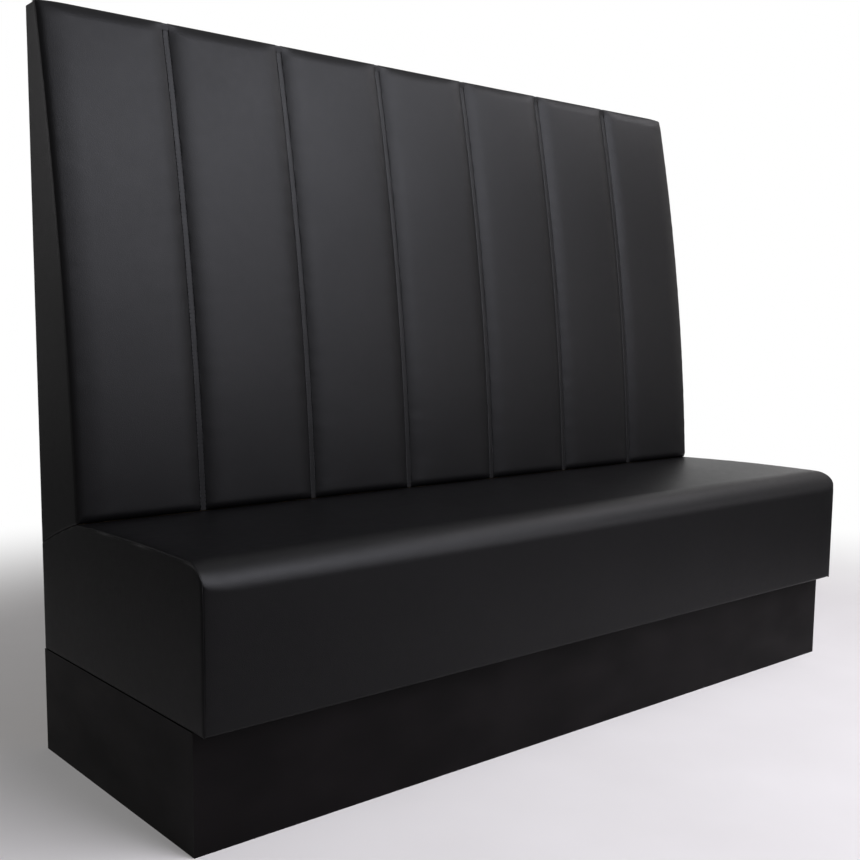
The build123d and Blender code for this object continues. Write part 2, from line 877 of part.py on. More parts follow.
def build_fixings():
    save(Compound(children=plinth_bolts()), "plinth_bolts")
    save(Compound(children=plinth_nuts()), "plinth_nuts")
    save(Compound(children=joining_plates()), "joining_plates")
    save(Compound(children=joining_screws()), "joining_screws")


build_plinth()
build_seat()
build_back()
build_fixings()
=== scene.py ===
"""Dresses a restaurant bench with a channelled back: vinyl, seams, stitches, foam, timber and light."""

import logging  # noqa: E402
import math  # noqa: E402
from dataclasses import dataclass, field  # noqa: E402
from enum import Enum  # noqa: E402

import bmesh  # noqa: E402
import bpy  # noqa: E402
import numpy as np  # noqa: E402
from mathutils import Matrix, Vector  # noqa: E402


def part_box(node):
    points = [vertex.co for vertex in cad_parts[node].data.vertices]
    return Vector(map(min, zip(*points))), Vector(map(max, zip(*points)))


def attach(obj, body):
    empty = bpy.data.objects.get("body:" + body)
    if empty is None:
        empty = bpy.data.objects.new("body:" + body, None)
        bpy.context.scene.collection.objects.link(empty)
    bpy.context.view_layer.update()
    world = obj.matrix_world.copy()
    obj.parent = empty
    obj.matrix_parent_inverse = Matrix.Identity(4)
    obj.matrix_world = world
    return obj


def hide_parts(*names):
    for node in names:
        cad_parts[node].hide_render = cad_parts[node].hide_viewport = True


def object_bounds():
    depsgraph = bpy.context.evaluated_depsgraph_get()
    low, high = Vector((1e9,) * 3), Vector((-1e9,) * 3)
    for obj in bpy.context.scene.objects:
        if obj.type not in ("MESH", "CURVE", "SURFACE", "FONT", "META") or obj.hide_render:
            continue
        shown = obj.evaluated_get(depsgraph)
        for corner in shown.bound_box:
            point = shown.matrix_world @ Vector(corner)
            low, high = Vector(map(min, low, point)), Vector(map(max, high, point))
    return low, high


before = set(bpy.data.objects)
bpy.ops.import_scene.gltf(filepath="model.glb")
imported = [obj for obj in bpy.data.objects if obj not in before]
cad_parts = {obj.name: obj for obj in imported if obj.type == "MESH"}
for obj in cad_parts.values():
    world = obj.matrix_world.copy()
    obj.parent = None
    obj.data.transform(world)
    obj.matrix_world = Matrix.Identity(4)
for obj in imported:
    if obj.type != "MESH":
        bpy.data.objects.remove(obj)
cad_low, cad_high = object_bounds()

log = logging.getLogger("bench")
Point = tuple[float, float]
Span = tuple[float, float]
Triple = tuple[float, float, float]
Grids = tuple[np.ndarray, np.ndarray, np.ndarray]
Steps = tuple[float, int, int, float, int]
MM = 0.001
BODY = "root"
NOISE_SPAN = (0.3, 0.7)
SLANT_SPAN = (0.35, 0.75)
EVEN_STRETCH = (1.0, 1.0, 1.0)
WHITE = (1.0, 1.0, 1.0, 1.0)
SOFT_DETAIL = 3.0
FINE_DETAIL = 6.0
LEAST = 1e-12
PLAIN_CREASE = 35.0
SEWN_CREASE = 50.0
THREAD_CREASE = 70.0


class Slot(Enum):
    """The material slots that the record names."""

    VINYL = "black_vinyl"
    THREAD = "thread"
    LAMINATE = "plinth_laminate"
    PLYWOOD = "plywood"
    SOFTWOOD = "softwood"
    FOAM = "foam"
    LINING = "black_lining"
    STEEL = "zinc_steel"


class Side(Enum):
    """The two ends of the bench, with the sign of X on each."""

    LEFT = -1
    RIGHT = 1


class CellMark(Enum):
    """What a cell pattern measures."""

    TO_EDGE = "DISTANCE_TO_EDGE"
    TO_MIDDLE = "F1"


@dataclass(frozen=True)
class Finish:
    """What every finish has: two tones and the span over which they turn, roughness, relief and gloss."""

    name: str
    dark: Triple
    light: Triple
    turn: Span
    rough: Span
    relief: float
    depth: float
    gloss: float = 0.5
    metal: float = 0.0


class NodeSheet:
    """A material's node tree, with short calls for the nodes that the finishes share."""

    def __init__(self, name: str) -> None:
        """Starts an empty tree with a Principled surface.

        Args:
            name: the material's name.
        """
        self.material = bpy.data.materials.new(name)
        self.material.use_nodes = True
        self.tree = self.material.node_tree
        self.tree.nodes.clear()
        self.output = self.tree.nodes.new("ShaderNodeOutputMaterial")
        self.surface = self.tree.nodes.new("ShaderNodeBsdfPrincipled")
        self.link(self.surface.outputs["BSDF"], self.output.inputs["Surface"])
        self.place = self.tree.nodes.new("ShaderNodeTexCoord").outputs["Object"]

    def link(self, source: bpy.types.NodeSocket, target: bpy.types.NodeSocket) -> None:
        """Joins two sockets."""
        self.tree.links.new(source, target)

    def node(self, kind: str, **values: float) -> bpy.types.Node:
        """Adds a node and sets its named inputs.

        Args:
            kind: the node's type name.
            values: input values, with spaces in the socket's name written as underscores.

        Returns:
            The new node.
        """
        made = self.tree.nodes.new(kind)
        for name, value in values.items():
            made.inputs[name.replace("_", " ")].default_value = value
        return made

    def stretched(self, scale: Triple) -> bpy.types.NodeSocket:
        """Gives the piece's own coordinates in metres, scaled on each axis.

        Args:
            scale: the factor for X, Y and Z.

        Returns:
            A vector socket.
        """
        mapping = self.node("ShaderNodeMapping", Scale=scale)
        self.link(self.place, mapping.inputs["Vector"])
        return mapping.outputs["Vector"]

    def noise(
        self, scale: float, detail: float = 2.0, stretch: Triple = EVEN_STRETCH
    ) -> bpy.types.NodeSocket:
        """Adds a noise texture over the piece's own coordinates.

        Args:
            scale: cells per metre.
            detail: octaves.
            stretch: extra factor on each axis.

        Returns:
            The noise as a number around one half.
        """
        made = self.node("ShaderNodeTexNoise", Scale=scale, Detail=detail)
        self.link(self.stretched(stretch), made.inputs["Vector"])
        return made.outputs["Fac"]

    def cells(self, scale: float, mark: CellMark = CellMark.TO_EDGE) -> bpy.types.NodeSocket:
        """Adds a pebbled cell pattern over the piece's own coordinates.

        Args:
            scale: cells per metre.
            mark: what to measure in each cell.

        Returns:
            The distance socket.
        """
        made = self.tree.nodes.new("ShaderNodeTexVoronoi")
        made.feature = mark.value
        made.inputs["Scale"].default_value = scale
        self.link(self.place, made.inputs["Vector"])
        return made.outputs["Distance"]

    def ramp(
        self, source: bpy.types.NodeSocket, turn: Span, first: Triple, last: Triple
    ) -> bpy.types.NodeSocket:
        """Turns a number into a colour between two others.

        Args:
            source: the number.
            turn: where the first colour ends and where the last one starts.
            first: the colour of low numbers.
            last: the colour of high numbers.

        Returns:
            The colour socket.
        """
        made = self.tree.nodes.new("ShaderNodeValToRGB")
        for element, position, colour in zip(made.color_ramp.elements, turn, (first, last)):
            element.position = position
            element.color = (*colour, 1.0)
        self.link(source, made.inputs["Fac"])
        return made.outputs["Color"]

    def spread(
        self, source: bpy.types.NodeSocket, result: Span, taken: Span = NOISE_SPAN, smooth: bool = False
    ) -> bpy.types.NodeSocket:
        """Maps a number from one span to another.

        Args:
            source: the number.
            result: the results for the ends of the span.
            taken: the span that the number moves in, by default that of a noise.
            smooth: whether the way between has flat ends.

        Returns:
            The mapped number.
        """
        made = self.tree.nodes.new("ShaderNodeMapRange")
        made.interpolation_type = "SMOOTHSTEP" if smooth else "LINEAR"
        for name, value in zip(("From Min", "From Max", "To Min", "To Max"), (*taken, *result)):
            made.inputs[name].default_value = value
        self.link(source, made.inputs["Value"])
        return made.outputs["Result"]

    def by_slant(self, straight: float, slanting: float) -> bpy.types.NodeSocket:
        """Gives a number that changes where a surface is seen at a slant and its pebbles hide each other.

        Args:
            straight: the number where the surface is seen straight on.
            slanting: the number where it is seen along its length.

        Returns:
            The number's socket.
        """
        facing = self.node("ShaderNodeLayerWeight", Blend=0.5).outputs["Facing"]
        return self.spread(facing, (straight, slanting), SLANT_SPAN, smooth=True)

    def math(
        self, kind: str, first: bpy.types.NodeSocket, second: bpy.types.NodeSocket | float
    ) -> bpy.types.NodeSocket:
        """Adds one sum of two numbers.

        Args:
            kind: the Math node's operation.
            first: the first number.
            second: the second number, or a socket with it.

        Returns:
            The result.
        """
        made = self.tree.nodes.new("ShaderNodeMath")
        made.operation = kind
        self.link(first, made.inputs[0])
        if isinstance(second, (int, float)):
            made.inputs[1].default_value = second
        else:
            self.link(second, made.inputs[1])
        return made.outputs["Value"]

    def mean(self, first: bpy.types.NodeSocket, second: bpy.types.NodeSocket) -> bpy.types.NodeSocket:
        """Gives the mean of two numbers."""
        return self.math("MULTIPLY", self.math("ADD", first, second), 0.5)

    def bump(
        self,
        height: bpy.types.NodeSocket,
        strength: float,
        distance: float,
        under: bpy.types.NodeSocket | None = None,
    ) -> bpy.types.NodeSocket:
        """Adds relief to the surface's normal.

        Args:
            height: the relief.
            strength: how much of it shows.
            distance: its height in metres.
            under: the normal of a coarser relief beneath it.

        Returns:
            The normal socket.
        """
        made = self.node("ShaderNodeBump", Strength=strength, Distance=distance)
        self.link(height, made.inputs["Height"])
        if under is not None:
            self.link(under, made.inputs["Normal"])
        return made.outputs["Normal"]

    def finish(
        self,
        look: Finish,
        tone: bpy.types.NodeSocket,
        wear: bpy.types.NodeSocket,
        normal: bpy.types.NodeSocket,
    ) -> bpy.types.Material:
        """Joins a finish's varied parts to the surface and sets the values that are the same all over.

        Args:
            look: the finish.
            tone: the number that turns dark into light.
            wear: the number that changes the roughness.
            normal: the normal with its relief.

        Returns:
            The finished material.
        """
        self.link(self.ramp(tone, look.turn, look.dark, look.light), self.surface.inputs["Base Color"])
        self.link(self.spread(wear, look.rough), self.surface.inputs["Roughness"])
        self.link(normal, self.surface.inputs["Normal"])
        self.surface.inputs["Specular IOR Level"].default_value = look.gloss
        self.surface.inputs["Metallic"].default_value = look.metal
        return self.material


@dataclass(frozen=True)
class Vinyl(Finish):
    """Satin black upholstery vinyl with a fine pebbled grain."""

    name: str = "satin_black_vinyl"
    dark: Triple = (0.0022, 0.0021, 0.0023)
    light: Triple = (0.0034, 0.0032, 0.0034)
    turn: Span = (0.35, 0.65)
    rough: Span = (0.44, 0.38)
    relief: float = 0.7
    depth: float = 0.0004
    gloss: float = 0.12
    slant_gloss: float = 0.085
    pebbles: float = 420.0
    crease_scale: float = 2600.0
    crease_relief: float = 0.6
    crease_depth: float = 0.00004
    mottle_scale: float = 60.0
    handling_scale: float = 5.0

    def material(self) -> bpy.types.Material:
        """Builds the material: pebbles with creases over them, mottled and worn by handling.

        Returns:
            The material.
        """
        sheet = NodeSheet(self.name)
        mottle = sheet.noise(self.mottle_scale, FINE_DETAIL)
        both = sheet.mean(mottle, sheet.noise(self.handling_scale, SOFT_DETAIL))
        pebble = sheet.bump(sheet.cells(self.pebbles), self.relief, self.depth)
        crease = sheet.noise(self.crease_scale, SOFT_DETAIL)
        normal = sheet.bump(crease, self.crease_relief, self.crease_depth, pebble)
        gloss = sheet.by_slant(self.gloss, self.slant_gloss)
        sheet.link(gloss, sheet.surface.inputs["Specular IOR Level"])
        return sheet.finish(self, both, both, normal)


@dataclass(frozen=True)
class Thread(Finish):
    """Bonded black sewing thread, twisted and slightly shiny."""

    name: str = "bonded_black_thread"
    dark: Triple = (0.010, 0.010, 0.011)
    light: Triple = (0.035, 0.035, 0.037)
    turn: Span = (0.3, 0.7)
    rough: Span = (0.38, 0.55)
    relief: float = 0.8
    depth: float = 0.00006
    gloss: float = 0.4
    twist_scale: float = 2200.0
    twist_stretch: Triple = (1.0, 1.0, 0.35)

    def material(self) -> bpy.types.Material:
        """Builds the material: a fine twist, drawn out along the thread.

        Returns:
            The material.
        """
        sheet = NodeSheet(self.name)
        twist = sheet.noise(self.twist_scale, stretch=self.twist_stretch)
        wear = sheet.noise(self.twist_scale, 1.0)
        return sheet.finish(self, twist, wear, sheet.bump(twist, self.relief, self.depth))


@dataclass(frozen=True)
class Laminate(Finish):
    """Satin black laminate on the plinth, with a faint scuffed bloom."""

    name: str = "satin_black_laminate"
    dark: Triple = (0.0030, 0.0025, 0.0026)
    light: Triple = (0.0052, 0.0043, 0.0045)
    turn: Span = (0.35, 0.7)
    rough: Span = (0.5, 0.4)
    relief: float = 0.5
    depth: float = 0.00003
    gloss: float = 0.05
    scuff_scale: float = 14.0
    scuff_stretch: Triple = (0.5, 0.5, 1.0)
    grain_scale: float = 420.0
    grain_stretch: Triple = (0.3, 0.3, 1.0)

    def material(self) -> bpy.types.Material:
        """Builds the material: scuffs over a fine pressed grain.

        Returns:
            The material.
        """
        sheet = NodeSheet(self.name)
        scuff = sheet.noise(self.scuff_scale, FINE_DETAIL, self.scuff_stretch)
        grain = sheet.noise(self.grain_scale, SOFT_DETAIL, self.grain_stretch)
        return sheet.finish(self, scuff, scuff, sheet.bump(grain, self.relief, self.depth))


@dataclass(frozen=True)
class Plywood(Finish):
    """Bare birch plywood with a rotary-cut face and its grain along the bench."""

    name: str = "birch_plywood"
    dark: Triple = (0.42, 0.27, 0.14)
    light: Triple = (0.66, 0.48, 0.30)
    turn: Span = (0.38, 0.62)
    rough: Span = (0.55, 0.75)
    relief: float = 0.5
    depth: float = 0.0003
    gloss: float = 0.3
    ring_scale: float = 16.0
    ring_detail: float = 8.0
    ring_share: float = 0.8
    pore_scale: float = 600.0
    stretch: Triple = (0.2, 1.0, 1.0)

    def material(self) -> bpy.types.Material:
        """Builds the material: growth rings with fine pores.

        Returns:
            The material.
        """
        sheet = NodeSheet(self.name)
        ring = sheet.noise(self.ring_scale, self.ring_detail, self.stretch)
        pore = sheet.noise(self.pore_scale, stretch=self.stretch)
        rings = sheet.math("MULTIPLY", ring, self.ring_share)
        both = sheet.math("ADD", rings, sheet.math("MULTIPLY", pore, 1.0 - self.ring_share))
        return sheet.finish(self, both, ring, sheet.bump(both, self.relief, self.depth))


@dataclass(frozen=True)
class Softwood(Plywood):
    """Sawn softwood, redder and with closer rings."""

    name: str = "sawn_softwood"
    dark: Triple = (0.40, 0.22, 0.09)
    light: Triple = (0.68, 0.47, 0.25)
    ring_scale: float = 30.0
    stretch: Triple = (0.15, 1.0, 1.0)


@dataclass(frozen=True)
class FoamFinish(Finish):
    """Cut polyurethane foam with open cells and a slight yellowing."""

    name: str = "cut_foam"
    dark: Triple = (0.62, 0.56, 0.40)
    light: Triple = (0.80, 0.76, 0.60)
    turn: Span = (0.35, 0.65)
    rough: Span = (0.85, 0.95)
    relief: float = 0.8
    depth: float = 0.0005
    gloss: float = 0.2
    cell_scale: float = 700.0
    stain_scale: float = 6.0
    stain_detail: float = 4.0

    def material(self) -> bpy.types.Material:
        """Builds the material: open cells and wide stains.

        Returns:
            The material.
        """
        sheet = NodeSheet(self.name)
        cell = sheet.cells(self.cell_scale, CellMark.TO_MIDDLE)
        stain = sheet.noise(self.stain_scale, self.stain_detail)
        return sheet.finish(self, stain, cell, sheet.bump(cell, self.relief, self.depth))


@dataclass(frozen=True)
class LiningFinish(Finish):
    """Black spun lining at the rear and underneath, a little dusty."""

    name: str = "black_spun_lining"
    dark: Triple = (0.010, 0.010, 0.010)
    light: Triple = (0.022, 0.021, 0.020)
    turn: Span = (0.38, 0.66)
    rough: Span = (0.8, 0.95)
    relief: float = 0.6
    depth: float = 0.0003
    gloss: float = 0.2
    fibre_scale: float = 900.0
    dust_scale: float = 5.0
    dimple_scale: float = 350.0

    def material(self) -> bpy.types.Material:
        """Builds the material: fibres, bonding dimples and dust.

        Returns:
            The material.
        """
        sheet = NodeSheet(self.name)
        fibre = sheet.noise(self.fibre_scale, SOFT_DETAIL)
        both = sheet.mean(fibre, sheet.noise(self.dust_scale, FINE_DETAIL))
        dimple = sheet.cells(self.dimple_scale, CellMark.TO_MIDDLE)
        return sheet.finish(self, both, fibre, sheet.bump(dimple, self.relief, self.depth))


@dataclass(frozen=True)
class ZincFinish(Finish):
    """Zinc-plated steel with faint rolling marks."""

    name: str = "zinc_plated_steel"
    dark: Triple = (0.50, 0.51, 0.53)
    light: Triple = (0.68, 0.69, 0.71)
    turn: Span = (0.3, 0.7)
    rough: Span = (0.28, 0.5)
    relief: float = 0.3
    depth: float = 0.00005
    metal: float = 1.0
    mark_scale: float = 300.0
    mark_stretch: Triple = (1.0, 1.0, 0.1)
    bloom_scale: float = 40.0
    detail: float = 4.0

    def material(self) -> bpy.types.Material:
        """Builds the material: rolling marks under a cloudy bloom.

        Returns:
            The material.
        """
        sheet = NodeSheet(self.name)
        mark = sheet.noise(self.mark_scale, self.detail, self.mark_stretch)
        bloom = sheet.noise(self.bloom_scale, self.detail)
        return sheet.finish(self, bloom, mark, sheet.bump(mark, self.relief, self.depth))


@dataclass
class Finishes:
    """Every finish of the bench, made once each."""

    made: dict[Slot, bpy.types.Material] = field(init=False)

    def __post_init__(self) -> None:
        """Makes the materials."""
        self.made = {
            Slot.VINYL: Vinyl().material(),
            Slot.THREAD: Thread().material(),
            Slot.LAMINATE: Laminate().material(),
            Slot.PLYWOOD: Plywood().material(),
            Slot.SOFTWOOD: Softwood().material(),
            Slot.FOAM: FoamFinish().material(),
            Slot.LINING: LiningFinish().material(),
            Slot.STEEL: ZincFinish().material(),
        }

    def dress(self, piece: bpy.types.Object, slot: Slot) -> None:
        """Gives a new piece its finish and its material slot, and ties it to the bench.

        Args:
            piece: the piece, already in place.
            slot: the slot that names its finish.
        """
        piece.data.materials.clear()
        piece.data.materials.append(self.made[slot])
        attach(piece, BODY)
        log.info("%s: %d faces", piece.name, len(piece.data.polygons))

    def dress_node(self, name: str, slot: Slot) -> None:
        """Gives a CAD node its finish.

        Args:
            name: the node's name.
            slot: the slot that names its finish.
        """
        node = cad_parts[name]
        node.data.materials.clear()
        node.data.materials.append(self.made[slot])
        log.info("%s: %s", name, slot.value)


def mesh_object(
    name: str, points: np.ndarray, faces: np.ndarray, sharp: float = PLAIN_CREASE
) -> bpy.types.Object:
    """Makes a smooth mesh whose edges over an angle stay sharp.

    Args:
        name: the piece's name.
        points: corners, one row each, in metres.
        faces: corner numbers, one row for each face.
        sharp: the angle in degrees.

    Returns:
        The new object, linked to the scene.
    """
    mesh = bpy.data.meshes.new(name)
    mesh.from_pydata(points.tolist(), [], faces.tolist())
    work = bmesh.new()
    work.from_mesh(mesh)
    bmesh.ops.recalc_face_normals(work, faces=work.faces)
    work.to_mesh(mesh)
    work.free()
    mesh.polygons.foreach_set("use_smooth", [True] * len(mesh.polygons))
    mesh.set_sharp_from_angle(angle=math.radians(sharp))
    mesh.update()
    made = bpy.data.objects.new(name, mesh)
    bpy.context.scene.collection.objects.link(made)
    return made


def grid_faces(rows: int, columns: int, first: int = 0) -> np.ndarray:
    """Numbers the corners of a grid's faces.

    Args:
        rows: points up.
        columns: points across.
        first: number of the first point.

    Returns:
        One row of four numbers for each face.
    """
    number = first + np.arange(rows * columns).reshape(rows, columns)
    corners = (number[:-1, :-1], number[:-1, 1:], number[1:, 1:], number[1:, :-1])
    return np.stack([corner.ravel() for corner in corners], axis=1)


def slab(front: np.ndarray, back: np.ndarray) -> tuple[np.ndarray, np.ndarray]:
    """Closes two grids of one shape into a solid, with a rim round their border.

    Args:
        front: points of the outer skin, rows by columns by three.
        back: points of the inner skin, the same shape.

    Returns:
        The points and the faces.
    """
    rows, columns = front.shape[:2]
    number = np.arange(rows * columns).reshape(rows, columns)
    border = np.concatenate([number[0, :-1], number[:-1, -1], number[-1, :0:-1], number[:0:-1, 0]])
    after = np.roll(border, -1)
    count = rows * columns
    rim = np.stack([after, border, border + count, after + count], axis=1)
    inner = grid_faces(rows, columns, count)[:, ::-1]
    faces = np.concatenate([grid_faces(rows, columns), inner, rim])
    return np.concatenate([front.reshape(-1, 3), back.reshape(-1, 3)]), faces


def joined(parts: list[tuple[np.ndarray, np.ndarray]]) -> tuple[np.ndarray, np.ndarray]:
    """Puts several meshes into one.

    Args:
        parts: the points and faces of each.

    Returns:
        All points and all faces.
    """
    points, faces, count = [], [], 0
    for part_points, part_faces in parts:
        points.append(part_points)
        faces.append(part_faces + count)
        count += len(part_points)
    return np.concatenate(points), np.concatenate(faces)


@dataclass(frozen=True)
class Ripple:
    """An uneven wave that is the same each run: several sines of seeded length, heading and phase."""

    seed: int
    shortest: float
    longest: float
    size: float
    count: int = 7

    def at(self, across: np.ndarray, along: np.ndarray) -> np.ndarray:
        """Measures the wave.

        Args:
            across: first coordinate in metres.
            along: second coordinate in metres.

        Returns:
            The height in metres, with the shape of the coordinates.
        """
        chance = np.random.default_rng(self.seed)
        total = np.zeros(np.broadcast(across, along).shape)
        for _ in range(self.count):
            length = chance.uniform(self.shortest, self.longest)
            heading, phase = chance.uniform(0.0, math.tau, 2)
            run = across * math.cos(heading) + along * math.sin(heading)
            total += np.sin(math.tau * run / length + phase)
        return total * self.size / math.sqrt(self.count)


def smooth_step(value: np.ndarray, low: float, high: float) -> np.ndarray:
    """Rises from 0 at low to 1 at high with flat ends."""
    share = np.clip((value - low) / (high - low), 0.0, 1.0)
    return share * share * (3.0 - 2.0 * share)


def quarter(distance: np.ndarray, width: float) -> np.ndarray:
    """Rises from 0 to 1 over a width like a quarter of an oval, steep at first."""
    share = np.clip(1.0 - distance / width, 0.0, 1.0)
    return np.sqrt(1.0 - share * share)


def quarter_steps(width: float, count: int) -> np.ndarray:
    """Distances from 0 to a width that follow a quarter of an oval evenly."""
    return width * (1.0 - np.cos(np.linspace(0.0, math.pi / 2, count)))


def resampled(
    values: np.ndarray, rows: np.ndarray, columns: np.ndarray, new_rows: np.ndarray, new_columns: np.ndarray
) -> np.ndarray:
    """Reads a grid of values at other rows and columns.

    Args:
        values: the grid.
        rows: place of each of its rows.
        columns: place of each of its columns.
        new_rows: places to read it at, up the grid.
        new_columns: places to read it at, across the grid.

    Returns:
        The new grid.
    """
    across = np.stack([np.interp(new_columns, columns, line) for line in values])
    return np.stack([np.interp(new_rows, rows, line) for line in across.T], axis=1)


@dataclass(frozen=True)
class SewnCloth:
    """Vinyl sheets sewn down along their borders and pushed out by the foam behind them, as cloth."""

    pressure: float = 4.0
    frames: int = 20
    quality: int = 5
    weight: float = 0.5
    tension: float = 60.0
    bending: float = 4.0
    growth: float = -0.0005
    cap: float = 1.2 * MM
    border: str = "sewn"

    def lifts(self, sheets: list[np.ndarray]) -> list[np.ndarray]:
        """Simulates the sheets together and measures how far each point comes out.

        Args:
            sheets: grids of points, rows by columns by three, whose outer sides face the user.
        """
        faces = [grid_faces(*sheet.shape[:2]) for sheet in sheets]
        points, joined_faces = joined([(s.reshape(-1, 3), f) for s, f in zip(sheets, faces)])
        cloth = mesh_object("sewn_cloth", points, joined_faces)
        self.sew(cloth, sheets)
        self.run(cloth)
        graph = bpy.context.evaluated_depsgraph_get()
        moved = cloth.evaluated_get(graph).to_mesh()
        places = np.empty(3 * len(points))
        moved.vertices.foreach_get("co", places)
        moves = places.reshape(-1, 3) - points
        cloth.evaluated_get(graph).to_mesh_clear()
        mesh = cloth.data
        bpy.data.objects.remove(cloth)
        bpy.data.meshes.remove(mesh)
        bpy.context.scene.frame_set(1)
        return self.split(moves, sheets)

    def sew(self, cloth: bpy.types.Object, sheets: list[np.ndarray]) -> None:
        """Pins the border of each sheet.

        Args:
            cloth: the object with all the sheets.
            sheets: the grids that it was made of.
        """
        group = cloth.vertex_groups.new(name=self.border)
        first = 0
        for sheet in sheets:
            rows, columns = sheet.shape[:2]
            number = first + np.arange(rows * columns).reshape(rows, columns)
            border = np.concatenate([number[0], number[-1], number[:, 0], number[:, -1]])
            group.add(border.tolist(), 1.0, "REPLACE")
            first += rows * columns

    def run(self, cloth: bpy.types.Object) -> None:
        """Sets up the cloth and steps through its frames.

        Args:
            cloth: the object with all the sheets.
        """
        modifier = cloth.modifiers.new("cloth", "CLOTH")
        settings = modifier.settings
        settings.quality = self.quality
        settings.mass = self.weight
        settings.tension_stiffness = self.tension
        settings.compression_stiffness = self.tension
        settings.bending_stiffness = self.bending
        settings.shrink_min = self.growth
        settings.use_pressure = True
        settings.uniform_pressure_force = self.pressure
        settings.vertex_group_mass = self.border
        settings.effector_weights.gravity = 0.0
        modifier.collision_settings.use_collision = False
        modifier.point_cache.frame_start = 1
        modifier.point_cache.frame_end = self.frames
        for frame_number in range(1, self.frames + 1):
            bpy.context.scene.frame_set(frame_number)

    def split(self, moves: np.ndarray, sheets: list[np.ndarray]) -> list[np.ndarray]:
        """Measures the moves along each sheet's normals and caps them.

        Args:
            moves: how far each point moved.
            sheets: the grids before the run.

        Returns:
            One grid of distances for each sheet.
        """
        lifts, first = [], 0
        for sheet in sheets:
            rows, columns = sheet.shape[:2]
            up, across = np.gradient(sheet, axis=0), np.gradient(sheet, axis=1)
            normal = np.cross(across, up)
            normal /= np.linalg.norm(normal, axis=-1, keepdims=True) + LEAST
            part = moves[first : first + rows * columns].reshape(rows, columns, 3)
            out = np.sum(part * normal, axis=-1)
            log.info("cloth sheet: lift %.2f to %.2f mm", out.min() / MM, out.max() / MM)
            lifts.append(out * min(1.0, self.cap / np.abs(out).max()))
            first += rows * columns
        return lifts


@dataclass(frozen=True)
class Arc:
    """A circle in side view, where points are depth from the wall and height."""

    depth: float
    height: float
    radius: float

    @staticmethod
    def through(first: Point, second: Point, third: Point) -> "Arc":
        """Finds the circle through three points.

        Args:
            first: a point.
            second: another point.
            third: the last point.

        Returns:
            The circle.
        """
        (ax, ay), (bx, by), (cx, cy) = first, second, third
        spread = 2.0 * (ax * (by - cy) + bx * (cy - ay) + cx * (ay - by))
        a2, b2, c2 = ax**2 + ay**2, bx**2 + by**2, cx**2 + cy**2
        x = (a2 * (by - cy) + b2 * (cy - ay) + c2 * (ay - by)) / spread
        y = (a2 * (cx - bx) + b2 * (ax - cx) + c2 * (bx - ax)) / spread
        return Arc(x, y, math.hypot(ax - x, ay - y))

    @staticmethod
    def bowed(first: Point, last: Point, bulge: float) -> "Arc":
        """Finds the circle through two points that bows to the left of the way between them.

        Args:
            first: where the arc starts.
            last: where it ends.
            bulge: how far its middle stands off the straight line.

        Returns:
            The circle.
        """
        run = (last[0] - first[0], last[1] - first[1])
        length = math.hypot(*run)
        middle = (
            (first[0] + last[0]) / 2 - bulge * run[1] / length,
            (first[1] + last[1]) / 2 + bulge * run[0] / length,
        )
        return Arc.through(first, middle, last)

    def angle(self, point: Point) -> float:
        """Gives the angle of a point as seen from the centre."""
        return math.atan2(point[1] - self.height, point[0] - self.depth)

    def sample(self, first: Point, last: Point, count: int) -> np.ndarray:
        """Lists points along the shorter way round between two points on the circle.

        Args:
            first: where to start.
            last: where to end.
            count: number of points.

        Returns:
            One row of depth and height for each point.
        """
        start = self.angle(first)
        turn = (self.angle(last) - start + math.pi) % math.tau - math.pi
        angles = start + turn * np.linspace(0.0, 1.0, count)
        depths = self.depth + self.radius * np.cos(angles)
        return np.stack([depths, self.height + self.radius * np.sin(angles)], axis=1)


@dataclass(frozen=True)
class BenchOutline:
    """The sizes of the bench that the frame gives, and the curves that its pieces share."""

    wall_y: float
    inner_half: float
    top_height: float
    front_depth: float
    hem_height: float
    face_top_depth: float = 42 * MM
    foot: Point = (165 * MM, 464 * MM)
    joint_rear: Point = (0.0, 405 * MM)
    face_bulge: float = 18 * MM
    joint_bulge: float = 3 * MM

    @staticmethod
    def from_frame() -> "BenchOutline":
        """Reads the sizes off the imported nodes.

        Returns:
            The outline.
        """
        cover_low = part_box("seat_cover")[0]
        return BenchOutline(
            wall_y=cad_high.y,
            inner_half=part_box("back_end_cover_right")[0].x,
            top_height=cad_high.z,
            front_depth=cad_high.y - cover_low.y,
            hem_height=cover_low.z,
        )

    @property
    def face(self) -> Arc:
        """The bowed seam line of the back's face."""
        return Arc.bowed(self.foot, (self.face_top_depth, self.top_height), -self.face_bulge)

    @property
    def joint(self) -> Arc:
        """The line where the back stands on the seat box."""
        return Arc.bowed(self.joint_rear, self.foot, self.joint_bulge)

    def joint_height(self, depth: np.ndarray) -> np.ndarray:
        """Gives the height of the joint at a depth."""
        arc = self.joint
        return arc.height + np.sqrt(arc.radius**2 - (depth - arc.depth) ** 2)

    def face_depth(self, height: np.ndarray) -> np.ndarray:
        """Gives the depth of the face at a height."""
        arc = self.face
        return arc.depth + np.sqrt(arc.radius**2 - (height - arc.height) ** 2)

    def point(self, x: np.ndarray, depth: np.ndarray, height: np.ndarray) -> np.ndarray:
        """Turns places along the bench, depths from the wall and heights into points.

        Args:
            x: place along the bench.
            depth: distance from the wall.
            height: height over the floor.

        Returns:
            Points with X, Y and Z in the last axis.
        """
        x, depth, height = np.broadcast_arrays(x, depth, height)
        return np.stack([x, self.wall_y - depth, height], axis=-1)


